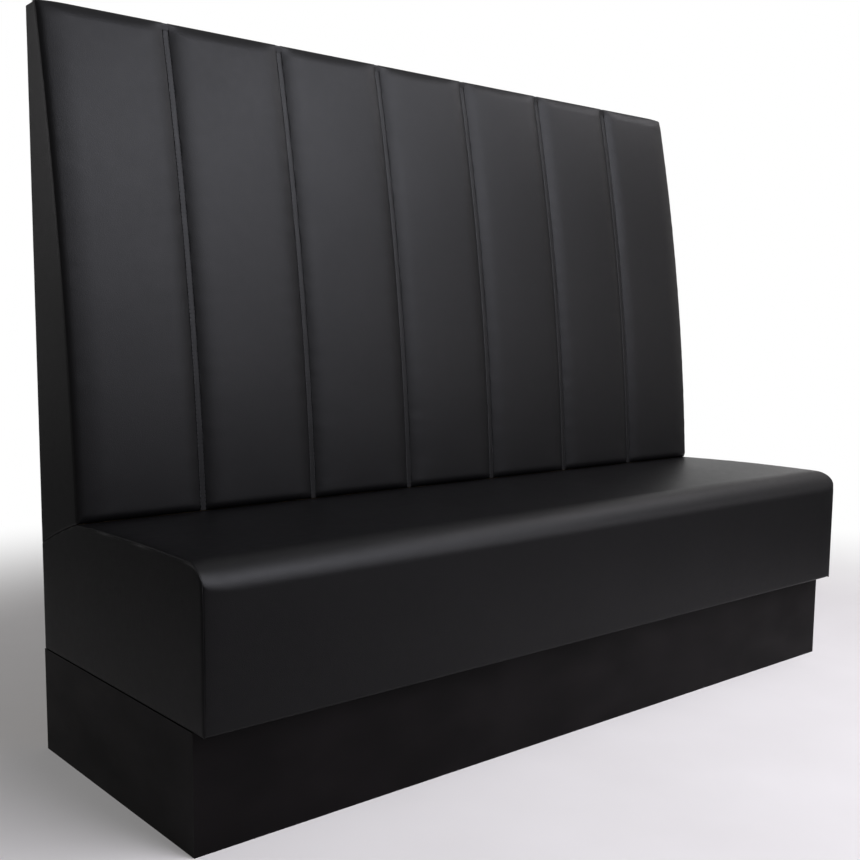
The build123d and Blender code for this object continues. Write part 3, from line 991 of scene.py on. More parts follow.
@dataclass(frozen=True)
class FacePath:
    """The seam line of the back in side view: up the bowed face, round the top edge and a bit further."""

    outline: BenchOutline
    foot_gap: float = 0.5 * MM
    top_radius: float = 4 * MM

    @property
    def roll_height(self) -> float:
        """Height of the centre that the top edge rolls round."""
        return self.outline.top_height - self.top_radius

    @property
    def foot_angle(self) -> float:
        """Angle on the face's circle where the pads start."""
        arc = self.outline.face
        return math.asin((self.outline.foot[1] + self.foot_gap - arc.height) / arc.radius)

    @property
    def roll_angle(self) -> float:
        """Angle on the face's circle where the roll starts."""
        arc = self.outline.face
        return math.asin((self.roll_height - arc.height) / (arc.radius - self.top_radius))

    @property
    def face_run(self) -> float:
        """Length of the seam line up to the roll."""
        return self.outline.face.radius * (self.roll_angle - self.foot_angle)

    @property
    def roll_run(self) -> float:
        """Length of the seam line round the roll."""
        return self.top_radius * (math.pi / 2 - self.roll_angle)

    @property
    def full_run(self) -> float:
        """Length of the seam line with the roll."""
        return self.face_run + self.roll_run

    def place(self, x: np.ndarray, run: np.ndarray, level: np.ndarray) -> np.ndarray:
        """Puts points at a height over the seam line.

        Args:
            x: place along the bench.
            run: way along the seam line from the foot.
            level: distance out from the seam line.

        Returns:
            Points with X, Y and Z in the last axis.
        """
        x, run, level = np.broadcast_arrays(x, run, level)
        arc = self.outline.face
        on_face = self.foot_angle + np.minimum(run, self.face_run) / arc.radius
        depth = arc.depth + (arc.radius + level) * np.cos(on_face)
        height = arc.height + (arc.radius + level) * np.sin(on_face)
        turned = np.clip(run - self.face_run, 0.0, self.roll_run)
        on_roll = self.roll_angle + turned / self.top_radius
        roll_depth = arc.depth + (arc.radius - self.top_radius) * math.cos(self.roll_angle)
        past = np.maximum(run - self.full_run, 0.0)
        over_depth = roll_depth + (self.top_radius + level) * np.cos(on_roll) - past
        over_height = self.roll_height + (self.top_radius + level) * np.sin(on_roll)
        over = run > self.face_run
        return self.outline.point(x, np.where(over, over_depth, depth), np.where(over, over_height, height))


@dataclass(frozen=True)
class Wadding:
    """The thin wadding under a flat end cover: how far it puffs out and how the seams pull at it."""

    seed: int = 5
    seam_puff: float = 2.6 * MM
    seam_width: float = 6 * MM
    soft_puff: float = 0.5 * MM
    soft_width: float = 45 * MM
    wave: Triple = (160 * MM, 420 * MM, 0.1 * MM)
    wave_width: float = 20 * MM
    pull: Triple = (30 * MM, 80 * MM, 0.1 * MM)
    pull_seed_step: int = 3
    pull_reach: float = 18 * MM
    pull_width: float = 5 * MM
    squeeze: Span = (0.3, 1.0)
    outer_gap: float = 0.2 * MM
    inner_gap: float = 0.05 * MM

    def puff(self, side: Side, depth: np.ndarray, height: np.ndarray, border: np.ndarray) -> np.ndarray:
        """Measures how far the cover stands out.

        Args:
            side: which end of the bench.
            depth: distance of each point from the wall.
            height: its height over the floor.
            border: its distance from the cover's seams.

        Returns:
            The puff at each point.
        """
        seed = self.seed + side.value
        puff = self.seam_puff * quarter(border, self.seam_width)
        puff += self.soft_puff * quarter(border, self.soft_width)
        puff += Ripple(seed, *self.wave).at(depth, height) * quarter(border, self.wave_width)
        pull = Ripple(seed + self.pull_seed_step, *self.pull)
        pulled = pull.at(depth * self.squeeze[0], height * self.squeeze[1])
        puff += pulled * np.exp(-border / self.pull_reach) * quarter(border, self.pull_width)
        return np.clip(puff, 0.0, None)

    def skins(
        self, outline: BenchOutline, side: Side, depth: np.ndarray, height: np.ndarray, border: np.ndarray
    ) -> tuple[np.ndarray, np.ndarray]:
        """Lays out the cover's outer and inner skin.

        Args:
            outline: the bench's sizes.
            side: which end of the bench.
            depth: distance of each point from the wall.
            height: its height over the floor.
            border: its distance from the cover's seams.

        Returns:
            The points of the two skins.
        """
        outer = side.value * (outline.inner_half + self.outer_gap + self.puff(side, depth, height, border))
        inner = side.value * (outline.inner_half + self.inner_gap) + 0.0 * outer
        return outline.point(outer, depth, height), outline.point(inner, depth, height)


@dataclass
class ChannelledBack:
    """The channelled back: seven stuffed channels, the twin-stitched bands between them, and its covers."""

    outline: BenchOutline
    finishes: Finishes
    wadding: Wadding = Wadding()
    channel_count: int = 7
    rise: float = 12.6 * MM
    swell: float = 1.3 * MM
    shoulder: float = 46 * MM
    valley_power: float = 2.7
    flank: float = 60 * MM
    flank_corner: float = 12 * MM
    corner_share: float = 0.46
    foot_roll: float = 16 * MM
    foot_sink: float = 2 * MM
    top_roll: float = 24 * MM
    top_level: float = 8.8 * MM
    sink: float = 6 * MM
    skin: float = 2 * MM
    thinning: float = 12 * MM
    thinnest: float = 0.3 * MM
    end_level: float = 0.3 * MM
    end_ease: float = 0.1 * MM
    wave: Triple = (180 * MM, 520 * MM, 0.2 * MM)
    pucker: Triple = (14 * MM, 55 * MM, 0.22 * MM)
    pucker_seeds: tuple[int, int] = (20, 40)
    pucker_squeeze: float = 0.4
    pucker_reach: float = 16 * MM
    pucker_edge: float = 6 * MM
    pucker_fade: float = 60 * MM
    band_width: float = 13.2 * MM
    band_level: float = 5.2 * MM
    band_gap: float = 0.3 * MM
    band_drop: float = 0.3 * MM
    band_margin: float = 9 * MM
    flush_gap: float = 0.05 * MM
    ledge_level: float = -2.3 * MM
    ledge_ease: float = 0.05 * MM
    row_step: float = 5.5 * MM
    foot_rows: int = 9
    top_rows: int = 14
    roll_rows: int = 6
    rear_runs: Span = (4 * MM, 9 * MM)
    side_columns: int = 12
    face_columns: int = 24
    cloth_step: float = 11 * MM
    cloth_columns: int = 14
    band_start: float = 1 * MM
    band_rows: tuple[float, ...] = (0.0, 0.125, 0.25, 0.5, 0.75, 0.875)
    band_columns: tuple[float, ...] = (-1.0, -0.92, -0.8, -0.68, -0.45, 0.45, 0.68, 0.8, 0.92, 1.0)
    band_wave: Triple = (40 * MM, 160 * MM, 0.12 * MM)
    band_seed: int = 70
    band_crown: float = 0.2 * MM
    band_turn: float = 0.6 * MM
    band_turn_power: int = 10
    band_thickness: Span = (0.6 * MM, 2.2 * MM)
    band_fade: float = 3 * MM
    stitch_pitch: float = 8 * MM
    stitch_inset: float = 1.3 * MM
    stitch_share: float = 0.9
    stitch_drift: float = 0.08 * MM
    stitch_seed: int = 300
    thread_radius: float = 0.5 * MM
    thread_arch: float = 0.5 * MM
    thread_sink: float = 0.4 * MM
    thread_taper: float = 0.8
    thread_power: int = 4
    thread_rings: int = 7
    thread_sides: int = 6
    hole_length: float = 1.5 * MM
    hole_depth: float = 0.4 * MM
    hole_share: float = 0.14
    notch: float = 1.2 * MM
    notch_span: Span = (0.7, 1.0)
    foam_thickness: float = 7.6 * MM
    foam_rows: int = 60
    foam_columns: int = 90
    foam_dent: Triple = (60 * MM, 200 * MM, 0.15 * MM)
    foam_seed: int = 91
    foam_edge: float = 8 * MM
    foam_softness: float = 1.6 * MM
    foam_gap: float = 0.3 * MM
    cover_ease: float = 0.4 * MM
    cover_gap: float = 0.5 * MM
    cover_top_gap: float = 0.3 * MM
    cover_steps: int = 6
    edge_count: int = 6
    edge_shares: Span = (0.04, 0.008)
    cover_counts: tuple[int, int] = (34, 120)
    top_reach: float = 0.9
    lap: float = 3 * MM
    lap_over: float = 1.5 * MM
    strip_columns: int = 260
    strip_rows: int = 12
    strip_edge_count: int = 5
    strip_edge_share: float = 0.06
    strip_gap: float = 0.2 * MM
    strip_puff: float = 0.9 * MM
    strip_edges: Span = (3 * MM, 4 * MM)
    strip_wave: Triple = (60 * MM, 220 * MM, 0.15 * MM)
    strip_seed: int = 61
    strip_thickness: float = 1.9 * MM
    path: FacePath = field(init=False)

    def __post_init__(self) -> None:
        """Lays out the seam line."""
        self.path = FacePath(self.outline)

    def build(self) -> None:
        """Builds and dresses every piece of the back."""
        numbers = range(1, self.channel_count + 1)
        coarse = [self.face(number, self.cloth_step, self.cloth_columns) for number in numbers]
        lifts = SewnCloth().lifts([self.path.place(*sheet) for sheet in coarse])
        for number, sheet, lift in zip(numbers, coarse, lifts):
            self.channel(number, sheet, lift)
        self.bands()
        self.stitches()
        self.base_foam()
        for side in Side:
            self.end_cover(side)
        self.top_cover()

    def node_span(self, number: int) -> Span:
        """Gives the two sides of a channel along the bench, as its node has them."""
        low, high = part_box(f"back_flute_{number}")
        return low.x, high.x

    def seams(self) -> list[float]:
        """Lists the middle of each seam between two channels."""
        spans = [self.node_span(number) for number in range(1, self.channel_count + 1)]
        return [(spans[i][1] + spans[i + 1][0]) / 2 for i in range(self.channel_count - 1)]

    def span(self, number: int) -> Span:
        """Gives the sides of a channel that show: the bench's end, or the edge of the band beside it.

        Args:
            number: the channel, counted from the left.

        Returns:
            The left and the right side in metres.
        """
        seams = self.seams()
        left, right = self.node_span(number)
        beside = self.band_width / 2 + self.band_gap
        if number > 1:
            left = seams[number - 2] + beside
        if number < self.channel_count:
            right = seams[number - 1] - beside
        return left, right

    def with_ledges(self, x: np.ndarray, level: np.ndarray, number: int) -> tuple[np.ndarray, np.ndarray]:
        """Adds the thin ledges by which a channel reaches under the bands beside it.

        Args:
            x: place along the bench of each point of the channel's face.
            level: its level.
            number: the channel, counted from the left.

        Returns:
            Both grids with two more columns on each inner side.
        """
        left, right = self.node_span(number)
        ledge = np.full((len(level), 2), self.ledge_level)
        if number > 1:
            places = np.tile([left, x[0, 0] - self.ledge_ease], (len(level), 1))
            x, level = np.hstack([places, x]), np.hstack([ledge, level])
        if number < self.channel_count:
            places = np.tile([x[0, -1] + self.ledge_ease, right], (len(level), 1))
            x, level = np.hstack([x, places]), np.hstack([level, ledge])
        return x, level

    def top_fade(self, run: np.ndarray, width: float) -> np.ndarray:
        """Falls from 1 to 0 over a width below the top edge, along a parabola."""
        share = np.clip((run - self.path.face_run) / width + 1.0, 0.0, 1.0)
        return 1.0 - share * share

    def runs(self, step: float) -> np.ndarray:
        """Spaces rows from the foot to the end of the roll.

        Args:
            step: spacing on the face.

        Returns:
            The runs of the rows.
        """
        foot = quarter_steps(self.foot_roll, self.foot_rows)
        high = self.path.face_run - self.top_roll
        face = np.linspace(self.foot_roll, high, round(high / step))
        top = self.path.face_run - np.linspace(0.0, self.top_roll, self.top_rows)[::-1]
        roll = np.linspace(self.path.face_run, self.path.full_run, self.roll_rows)
        back = self.path.full_run + np.array(self.rear_runs)
        return np.concatenate([foot, face[1:], top[1:], roll[1:], back])

    def face(self, number: int, row_step: float, inner_count: int) -> Grids:
        """Lays out the face of one channel, rolled over at its foot and at the top.

        Args:
            number: the channel, counted from the left.
            row_step: spacing of the rows on the face.
            inner_count: number of columns between the two shoulders.

        Returns:
            Place along the bench, run up the seam line and level of each point.
        """
        left, right = self.span(number)
        at_ends = (number == 1, number == self.channel_count)
        widths = [self.flank if at_end else self.shoulder for at_end in at_ends]
        inner = np.linspace(left + widths[0], right - widths[1], inner_count)
        first, last = (quarter_steps(width, self.side_columns) for width in widths)
        columns = np.concatenate([left + first[:-1], inner, (right - last)[-2::-1]])
        rows = self.runs(row_step)[:, None]
        x = columns[None, :]
        edges = (x - left, right - x)
        shape, ends = np.ones_like(x), np.ones_like(x)
        for edge, width, at_end in zip(edges, widths, at_ends):
            side = self.side_shape(edge, width, at_end)
            shape = shape * side
            ends = ends * side if at_end else ends
        level = self.rise * shape + self.swell * np.sin(math.pi * (x - left) / (right - left)) * shape
        level = level + Ripple(number, *self.wave).at(x, rows) * shape
        level = self.under_top(level, rows, ends)
        for edge, seed in zip(edges, self.pucker_seeds):
            pucker = Ripple(seed + number, *self.pucker).at(edge * self.pucker_squeeze, rows)
            reach = np.exp(-edge / self.pucker_reach) * quarter(edge, self.pucker_edge)
            level = level + pucker * reach * self.top_fade(rows, self.pucker_fade)
        fade = quarter(rows, self.foot_roll)
        level = level * fade - self.foot_sink * (1.0 - fade)
        x, rows, level = np.broadcast_arrays(x, rows, level)
        return x, rows, level

    def channel(self, number: int, sheet: Grids, lift: np.ndarray) -> None:
        """Builds one channel as a closed pad.

        Args:
            number: the channel, counted from the left.
            sheet: the coarse face that was simulated as cloth.
            lift: how far the cloth came out at each of its points.
        """
        x, rows, level = self.face(number, self.row_step, self.face_columns)
        coarse_x, coarse_rows, _ = sheet
        level = level + resampled(lift, coarse_rows[:, 0], coarse_x[0], rows[:, 0], x[0])
        x, level = self.with_ledges(x, level, number)
        rows = rows[:, :1]
        front = self.path.place(x, rows, level)
        thin = smooth_step(rows, self.path.face_run - self.thinning, self.path.face_run)
        under = -self.sink + (self.sink - self.skin) * thin
        past_end = np.abs(x) > self.outline.inner_half - self.end_ease
        under = np.where(past_end, self.end_level, under)
        back = self.path.place(x, rows, np.minimum(under, level - self.thinnest))
        piece = mesh_object(f"channel_{number}", *slab(front, back), sharp=SEWN_CREASE)
        self.finishes.dress(piece, Slot.VINYL)
        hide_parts(f"back_flute_{number}")

    def side_shape(self, distance: np.ndarray, width: float, at_end: bool) -> np.ndarray:
        """Gives the share of the rise at a distance from a channel's side.

        Args:
            distance: distance from the side.
            width: width over which the channel rises.
            at_end: whether the side is the bench's end, where the channel rises from the seam line.

        Returns:
            A share from 0 or the band's share up to 1.
        """
        share = np.clip(1.0 - distance / width, 0.0, 1.0)
        if at_end:
            corner = self.corner_share * quarter(distance, self.flank_corner)
            return corner + (1.0 - self.corner_share) * (1.0 - share * share)
        low = self.band_level / self.rise
        return low + (1.0 - low) * (1.0 - share**self.valley_power)

    def under_top(self, level: np.ndarray, run: np.ndarray, ends: np.ndarray | float = 1.0) -> np.ndarray:
        """Evens a level out gently below the top edge, then lowers it to the seam line round the roll.

        Args:
            level: distance out from the seam line.
            run: way along the seam line.
            ends: share of the top level left towards the bench's ends.

        Returns:
            The evened level.
        """
        share = np.clip((run - self.path.face_run) / self.top_roll + 1.0, 0.0, 1.0)
        gentle = level + (self.top_level * ends - level) * share * share
        round_top = np.clip((run - self.path.face_run) / self.path.roll_run, 0.0, 1.0)
        return gentle * np.cos(0.5 * math.pi * round_top) ** 2

    def band_height(self, run: np.ndarray) -> np.ndarray:
        """Gives the level of the bands, which falls to the seam line at the top edge."""
        return self.under_top(np.full_like(run, self.band_level), run) - self.band_drop

    def band_end(self) -> float:
        """Gives the run at which the bands end, flush with the channels, below the top edge."""
        return self.path.face_run - self.band_margin

    def holes(self, run: np.ndarray) -> np.ndarray:
        """Gives 1 at each needle hole and 0 between the holes."""
        off = (run + self.stitch_pitch / 2) % self.stitch_pitch - self.stitch_pitch / 2
        return np.exp(-((off / self.hole_length) ** 2))

    def bands(self) -> None:
        """Builds the flat sewn bands between the channels, notched at each needle hole."""
        pitches = np.arange(0.0, self.path.full_run, self.stitch_pitch)[:, None]
        rows = (pitches + np.array(self.band_rows) * self.stitch_pitch).reshape(-1, 1)
        rows = rows[(rows[:, 0] >= self.band_start) & (rows[:, 0] <= self.path.full_run)]
        share = np.array(self.band_columns)[None, :]
        edge = np.abs(share)
        pinch = self.holes(rows)
        flush = smooth_step(rows, self.band_end() - self.band_fade, self.band_end())
        row_of_holes = 1.0 - 2.0 * self.stitch_inset / self.band_width
        flush_half = self.band_width / 2 + self.band_gap - self.flush_gap
        half = self.band_width / 2 - self.notch * pinch * smooth_step(edge, *self.notch_span)
        half = half + (flush_half - half) * flush
        dip = self.hole_depth * pinch * np.exp(-(((edge - row_of_holes) / self.hole_share) ** 2))
        form = self.band_crown * (1 - edge**2) - self.band_turn * edge**self.band_turn_power - dip
        thin, thick = self.band_thickness
        parts = []
        for number, seam in enumerate(self.seams()):
            x = seam + half * share
            relief = form + Ripple(self.band_seed + number, *self.band_wave).at(0.0, rows)
            level = self.band_height(rows) + relief * (1 - flush) + self.band_drop * flush
            front = self.path.place(x, rows, level)
            back = self.path.place(x, rows, np.minimum(level - thin, self.band_height(rows) - thick))
            parts.append(slab(front, back))
        piece = mesh_object("seam_bands", *joined(parts), sharp=SEWN_CREASE)
        self.finishes.dress(piece, Slot.VINYL)
        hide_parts("back_seam_bands")

    def stitches(self) -> None:
        """Sews two rows of stitches along each band, from needle hole to needle hole."""
        ring_count, side_count = self.thread_rings, self.thread_sides
        turn = np.linspace(0.0, math.tau, side_count, endpoint=False)
        along = np.linspace(-1.0, 1.0, ring_count)[:, None]
        thick = self.thread_radius * np.sqrt(1.0 - (self.thread_taper * along) ** self.thread_power)
        template_x = thick * np.cos(turn)[None, :]
        arch = self.thread_arch * (1.0 - along**self.thread_power) - self.thread_sink
        template_level = thick * np.sin(turn)[None, :] + arch
        template_run = along * self.stitch_share * self.stitch_pitch / 2
        ring = np.arange(side_count)
        after = (ring + 1) % side_count
        tube = np.concatenate(
            [
                np.stack([ring, after, after + side_count, ring + side_count], axis=1) + number * side_count
                for number in range(ring_count - 1)
            ]
        )
        caps = np.array([[0, 1, 2, 3], [0, 3, 4, 5]])
        body = np.concatenate([tube, caps[:, ::-1], caps + (ring_count - 1) * side_count])
        parts = []
        half = self.stitch_pitch / 2
        starts = np.arange(self.stitch_pitch + half, self.band_end() - self.stitch_pitch, self.stitch_pitch)
        for number, seam in enumerate(self.seams()):
            for side in Side:
                chance = np.random.default_rng(self.stitch_seed + number * 2 + side.value)
                offset = side.value * (self.band_width / 2 - self.stitch_inset)
                for start in starts:
                    x = seam + offset + chance.normal(0.0, self.stitch_drift)
                    level = float(self.band_height(np.array([start]))[0])
                    points = self.path.place(x + template_x, start + template_run, level + template_level)
                    parts.append((points.reshape(-1, 3), body))
        piece = mesh_object("seam_stitching", *joined(parts), sharp=THREAD_CREASE)
        self.finishes.dress(piece, Slot.THREAD)

    def base_foam(self) -> None:
        """Builds the foam sheet under the channels, soft at its borders."""
        low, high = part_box("back_base_foam")
        x = np.linspace(low.x, high.x, self.foam_columns)[None, :]
        rows = np.linspace(self.band_start, self.path.face_run, self.foam_rows)[:, None]
        edge = np.minimum(x - low.x, high.x - x)
        dent = Ripple(self.foam_seed, *self.foam_dent).at(x, rows)
        soft = self.foam_softness * (1.0 - quarter(edge, self.foam_edge)) + self.foam_gap
        front = self.path.place(x, rows, -self.sink - soft + np.minimum(dent, 0.0))
        back = self.path.place(x, rows, -self.sink - self.foam_thickness + 0.0 * x)
        piece = mesh_object("back_foam_sheet", *slab(front, back))
        self.finishes.dress(piece, Slot.FOAM)
        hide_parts("back_base_foam")

    def end_cover(self, side: Side) -> None:
        """Builds the flat wadded cover of one end of the back.

        Args:
            side: which end.
        """
        outline = self.outline
        edge = quarter_steps(1.0, self.edge_count)
        spaced = []
        for width, count in zip(self.edge_shares, self.cover_counts):
            middle = np.linspace(width, 1 - width, count)[1:-1]
            spaced.append(np.concatenate([width * edge, middle, 1.0 - width * edge[::-1]]))
        across, up = spaced
        share, rise = np.meshgrid(across, up)
        height = outline.foot[1] + rise * (outline.top_height - outline.foot[1])
        for _ in range(self.cover_steps):
            depth = share * (outline.face_depth(height) - self.cover_ease)
            base = outline.joint_height(depth) + self.cover_gap
            height = base + rise * (outline.top_height - self.cover_top_gap - base)
        width = outline.face_depth(height)
        tall = outline.top_height - base
        sides = [share * width, (1 - share) * width]
        border = np.minimum.reduce([*sides, rise * tall, (1 - rise) * self.top_reach])
        front, back = self.wadding.skins(outline, side, depth, height, border)
        name = side.name.lower()
        piece = mesh_object(f"back_end_panel_{name}", *slab(front, back), sharp=SEWN_CREASE)
        self.finishes.dress(piece, Slot.VINYL)
        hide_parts(f"back_end_cover_{name}")

    def top_cover(self) -> None:
        """Builds the strip of vinyl over the top, lapped on to the channels and turned down at the wall."""
        outline = self.outline
        arc = outline.face
        turn_in = (arc.radius - self.path.top_radius) * math.cos(self.path.roll_angle)
        width = arc.depth + turn_in - self.lap + self.lap_over
        x = np.linspace(-outline.inner_half, outline.inner_half, self.strip_columns)[None, :]
        edge_share = self.strip_edge_share
        edge = quarter_steps(edge_share, self.strip_edge_count)
        inner = np.linspace(edge_share, 1 - edge_share, self.strip_rows)[1:-1]
        share = np.concatenate([edge, inner, 1 - edge[::-1]])
        depth = (share * width)[:, None] + 0.0 * x
        border = np.minimum(depth, width - depth)
        ends = outline.inner_half - np.abs(x)
        puff = quarter(border, self.strip_edges[0]) * quarter(ends, self.strip_edges[1])
        wave = Ripple(self.strip_seed, *self.strip_wave).at(x, depth)
        top = self.path.roll_height + self.path.top_radius
        height = top + self.strip_gap + (self.strip_puff + wave) * puff
        front = outline.point(x, depth, height)
        back = outline.point(x, depth, height * 0.0 + outline.top_height - self.strip_thickness)
        piece = mesh_object("back_top_strip", *slab(front, back), sharp=SEWN_CREASE)
        self.finishes.dress(piece, Slot.VINYL)
        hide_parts("back_top_cover")


@dataclass
class SeatCushion:
    """The seat: foam block, apron foam and the cover sewn over top, roll and apron, with its end panels."""

    outline: BenchOutline
    finishes: Finishes
    crown_height: float = 470 * MM
    roll_start_height: float = 467 * MM
    roll: Triple = (60 * MM, 50 * MM, 0.8)
    end_roll: Triple = (40 * MM, 30 * MM, 0.6)
    draw: float = 5 * MM
    draw_length: float = 50 * MM
    apron_tuck: float = 3 * MM
    apron_bow: float = 1 * MM
    hem_radius: float = 6 * MM
    hem_depth: float = 567 * MM
    start_depth: float = 21 * MM
    skin: float = 2 * MM
    joint_rows: int = 12
    top_rows: int = 44
    roll_rows: tuple[int, int] = (18, 14)
    apron_rows: int = 30
    hem_rows: int = 7
    turned_rows: int = 5
    end_columns: int = 12
    inner_columns: int = 150
    cloth_end_columns: int = 5
    cloth_inner_columns: int = 80
    cloth_row_step: int = 2
    sewn_rows: tuple[int, int] = (13, 12)
    cloth: SewnCloth = SewnCloth(pressure=0.5, tension=300.0, growth=0.0, cap=1.5 * MM)
    wave: Triple = (220 * MM, 620 * MM, 0.3 * MM)
    wave_seed: int = 3
    wave_edge: float = 30 * MM
    pucker: Triple = (18 * MM, 60 * MM, 0.25 * MM)
    pucker_seed: int = 4
    pucker_squeeze: float = 0.4
    pucker_reach: float = 20 * MM
    pucker_edge: float = 8 * MM
    ripple_start: Span = (150 * MM, 200 * MM)
    ripple_end_rows: tuple[int, int] = (-14, -9)
    cover_crease: float = 60.0
    seat_foam_softness: float = 4 * MM
    apron_foam_softness: float = 1.5 * MM
    foam_weld: float = 0.01 * MM
    foam_flat: float = 2.0
    foam_edge: float = 40.0
    foam_crease: float = 30.0
    foam_segments: int = 3
    foam_profile: float = 0.5
    rear_points: int = 4
    panel_columns: Steps = (0.015, 5, 50, 0.18, 20)
    panel_rows: Steps = (0.02, 5, 44, 0.03, 7)
    panel_gap: float = 0.4 * MM
    panel_foot_gap: float = 0.3 * MM
    wadding: Wadding = Wadding(
        seed=15,
        soft_width=50 * MM,
        pull=(24 * MM, 70 * MM, 0.1 * MM),
        pull_reach=20 * MM,
        squeeze=(1.0, 0.3),
    )

    def build(self) -> None:
        """Builds and dresses every piece of the seat."""
        self.cover()
        self.foam_block()
        self.apron_foam()
        for side in Side:
            self.end_cover(side)

    def roll_sizes(self, drawn: float) -> Triple:
        """Gives the depth, drop and lower radius of the front roll, squarer where it is drawn in."""
        depth, drop, share = ((1 - drawn) * a + drawn * b for a, b in zip(self.roll, self.end_roll))
        return depth, drop, drop * share

    def oval(self, drawn: float) -> tuple[Point, Point, Point, Point, Point]:
        """Lays out the roll as two tangent arcs, from its start to its front, round the origin.

        Args:
            drawn: 1 at the end seam and 0 where the cover has its full form.

        Returns:
            The start, a point on the wide arc, where the arcs meet, a point on the tight arc and the front.
        """
        width, rise, tight = self.roll_sizes(drawn)
        wide = (width**2 - 2 * width * tight + rise**2) / (2 * (rise - tight))
        turn = math.atan2(wide - rise, width - tight)
        high = (math.pi / 2 + turn) / 2
        return (
            (0.0, rise),
            (wide * math.cos(high), rise - wide + wide * math.sin(high)),
            (wide * math.cos(turn), rise - wide + wide * math.sin(turn)),
            (width - tight + tight * math.cos(turn / 2), tight * math.sin(turn / 2)),
            (width, 0.0),
        )

    def section(self, drawn: float) -> np.ndarray:
        """Lists the cover's outline in side view, from under the back to the turned-in hem.

        Args:
            drawn: 1 at the end seam and 0 where the cover has its full form.

        Returns:
            One row of depth and height for each point.
        """
        outline = self.outline
        front = outline.front_depth - self.draw * drawn
        depth, drop, _ = self.roll_sizes(drawn)
        start = (front - depth, self.roll_start_height - self.draw * drawn)
        crown = ((outline.foot[0] + start[0]) / 2, self.crown_height - self.draw * drawn)
        rear = (self.start_depth, float(outline.joint_height(np.array(self.start_depth))))
        runs = [outline.joint.sample(rear, outline.foot, self.joint_rows)]
        top = Arc.through(outline.foot, crown, start)
        runs.append(top.sample(outline.foot, start, self.top_rows))
        base = start[1] - drop
        corners = [(start[0] + depth, base + height) for depth, height in self.oval(drawn)]
        upper, lower = self.roll_rows
        runs.append(Arc.through(*corners[0:3]).sample(corners[0], corners[2], upper))
        runs.append(Arc.through(*corners[2:5]).sample(corners[2], corners[4], lower))
        hem_top = (front - self.apron_tuck * (1 - drawn), outline.hem_height + self.hem_radius)
        apron = Arc.bowed(corners[4], hem_top, self.apron_bow)
        runs.append(apron.sample(corners[4], hem_top, self.apron_rows))
        hem_end = (hem_top[0] - self.hem_radius, outline.hem_height)
        hem = Arc(hem_end[0], hem_top[1], self.hem_radius)
        runs.append(hem.sample(hem_top, hem_end, self.hem_rows))
        depths = np.linspace(hem_end[0], self.hem_depth, self.turned_rows)
        runs.append(np.stack([depths, np.full_like(depths, outline.hem_height)], axis=1))
        return np.concatenate([runs[0]] + [run[1:] for run in runs[1:]])

    def columns(self, end_count: int, inner_count: int) -> np.ndarray:
        """Spaces columns along the cover, closer where it is drawn in at its ends.

        Args:
            end_count: number of columns in each drawn-in end.
            inner_count: number between them.

        Returns:
            The places along the bench.
        """
        half = self.outline.inner_half
        edge = quarter_steps(self.draw_length, end_count)
        middle = np.linspace(-half + self.draw_length, half - self.draw_length, inner_count)
        return np.concatenate([-half + edge[:-1], middle, (half - edge)[-2::-1]])

    def skin_grid(self, columns: np.ndarray) -> tuple[np.ndarray, np.ndarray, np.ndarray]:
        """Lays out the cover's outer side.

        Args:
            columns: places along the bench.

        Returns:
            The points as depth and height, their normals, and the run round the middle section.
        """
        drawn = 1.0 - quarter(self.outline.inner_half - np.abs(columns), self.draw_length)
        sections = np.stack([self.section(share) for share in drawn], axis=1)
        along = np.gradient(sections, axis=0)
        normal = np.stack([-along[..., 1], along[..., 0]], axis=-1)
        normal /= np.linalg.norm(normal, axis=-1, keepdims=True)
        middle = sections[:, len(columns) // 2]
        run = np.concatenate([[0.0], np.cumsum(np.hypot(*np.diff(middle, axis=0).T))])
        return sections, normal, run

    def cloth_lift(self, columns: np.ndarray, run: np.ndarray) -> np.ndarray:
        """Simulates top, roll and apron as cloth sewn down at the back, the ends and the hem.

        Args:
            columns: places along the bench to read the result at.
            run: runs round the section to read it at.

        Returns:
            How far the cover comes out at each place.
        """
        coarse = self.columns(self.cloth_end_columns, self.cloth_inner_columns)
        sections, _, coarse_run = self.skin_grid(coarse)
        first, last = self.sewn_rows
        rows = np.arange(first, len(sections) - last, self.cloth_row_step)
        points = self.outline.point(coarse[None, :], sections[rows, :, 0], sections[rows, :, 1])
        lift = self.cloth.lifts([points[::-1]])[0][::-1]
        read = resampled(lift, coarse_run[rows], coarse, run, columns)
        inside = (run >= coarse_run[rows[0]]) & (run <= coarse_run[rows[-1]])
        return read * inside[:, None]

    def cover(self) -> None:
        """Builds the sewn cover as a skin with its drawn-in ends."""
        columns = self.columns(self.end_columns, self.inner_columns)
        sections, normal, run = self.skin_grid(columns)
        depth, height = sections[..., 0], sections[..., 1]
        x = np.broadcast_to(columns[None, :], depth.shape)
        wave = self.cloth_lift(columns, run)
        run = run[:, None]
        edge = self.outline.inner_half - np.abs(x)
        ripple = Ripple(self.wave_seed, *self.wave).at(x, run) * quarter(edge, self.wave_edge)
        pucker = Ripple(self.pucker_seed, *self.pucker).at(x * self.pucker_squeeze, run)
        ripple += pucker * np.exp(-edge / self.pucker_reach) * quarter(edge, self.pucker_edge)
        end_from, end_to = (run[row, 0] for row in self.ripple_end_rows)
        ripple *= smooth_step(run, *self.ripple_start) * (1.0 - smooth_step(run, end_from, end_to))
        wave = wave + ripple
        front = self.outline.point(x, depth + normal[..., 0] * wave, height + normal[..., 1] * wave)
        skin = self.skin
        back = self.outline.point(x, depth - normal[..., 0] * skin, height - normal[..., 1] * skin)
        piece = mesh_object("seat_cover_sewn", *slab(front, back), sharp=self.cover_crease)
        self.finishes.dress(piece, Slot.VINYL)
        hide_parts("seat_cover")

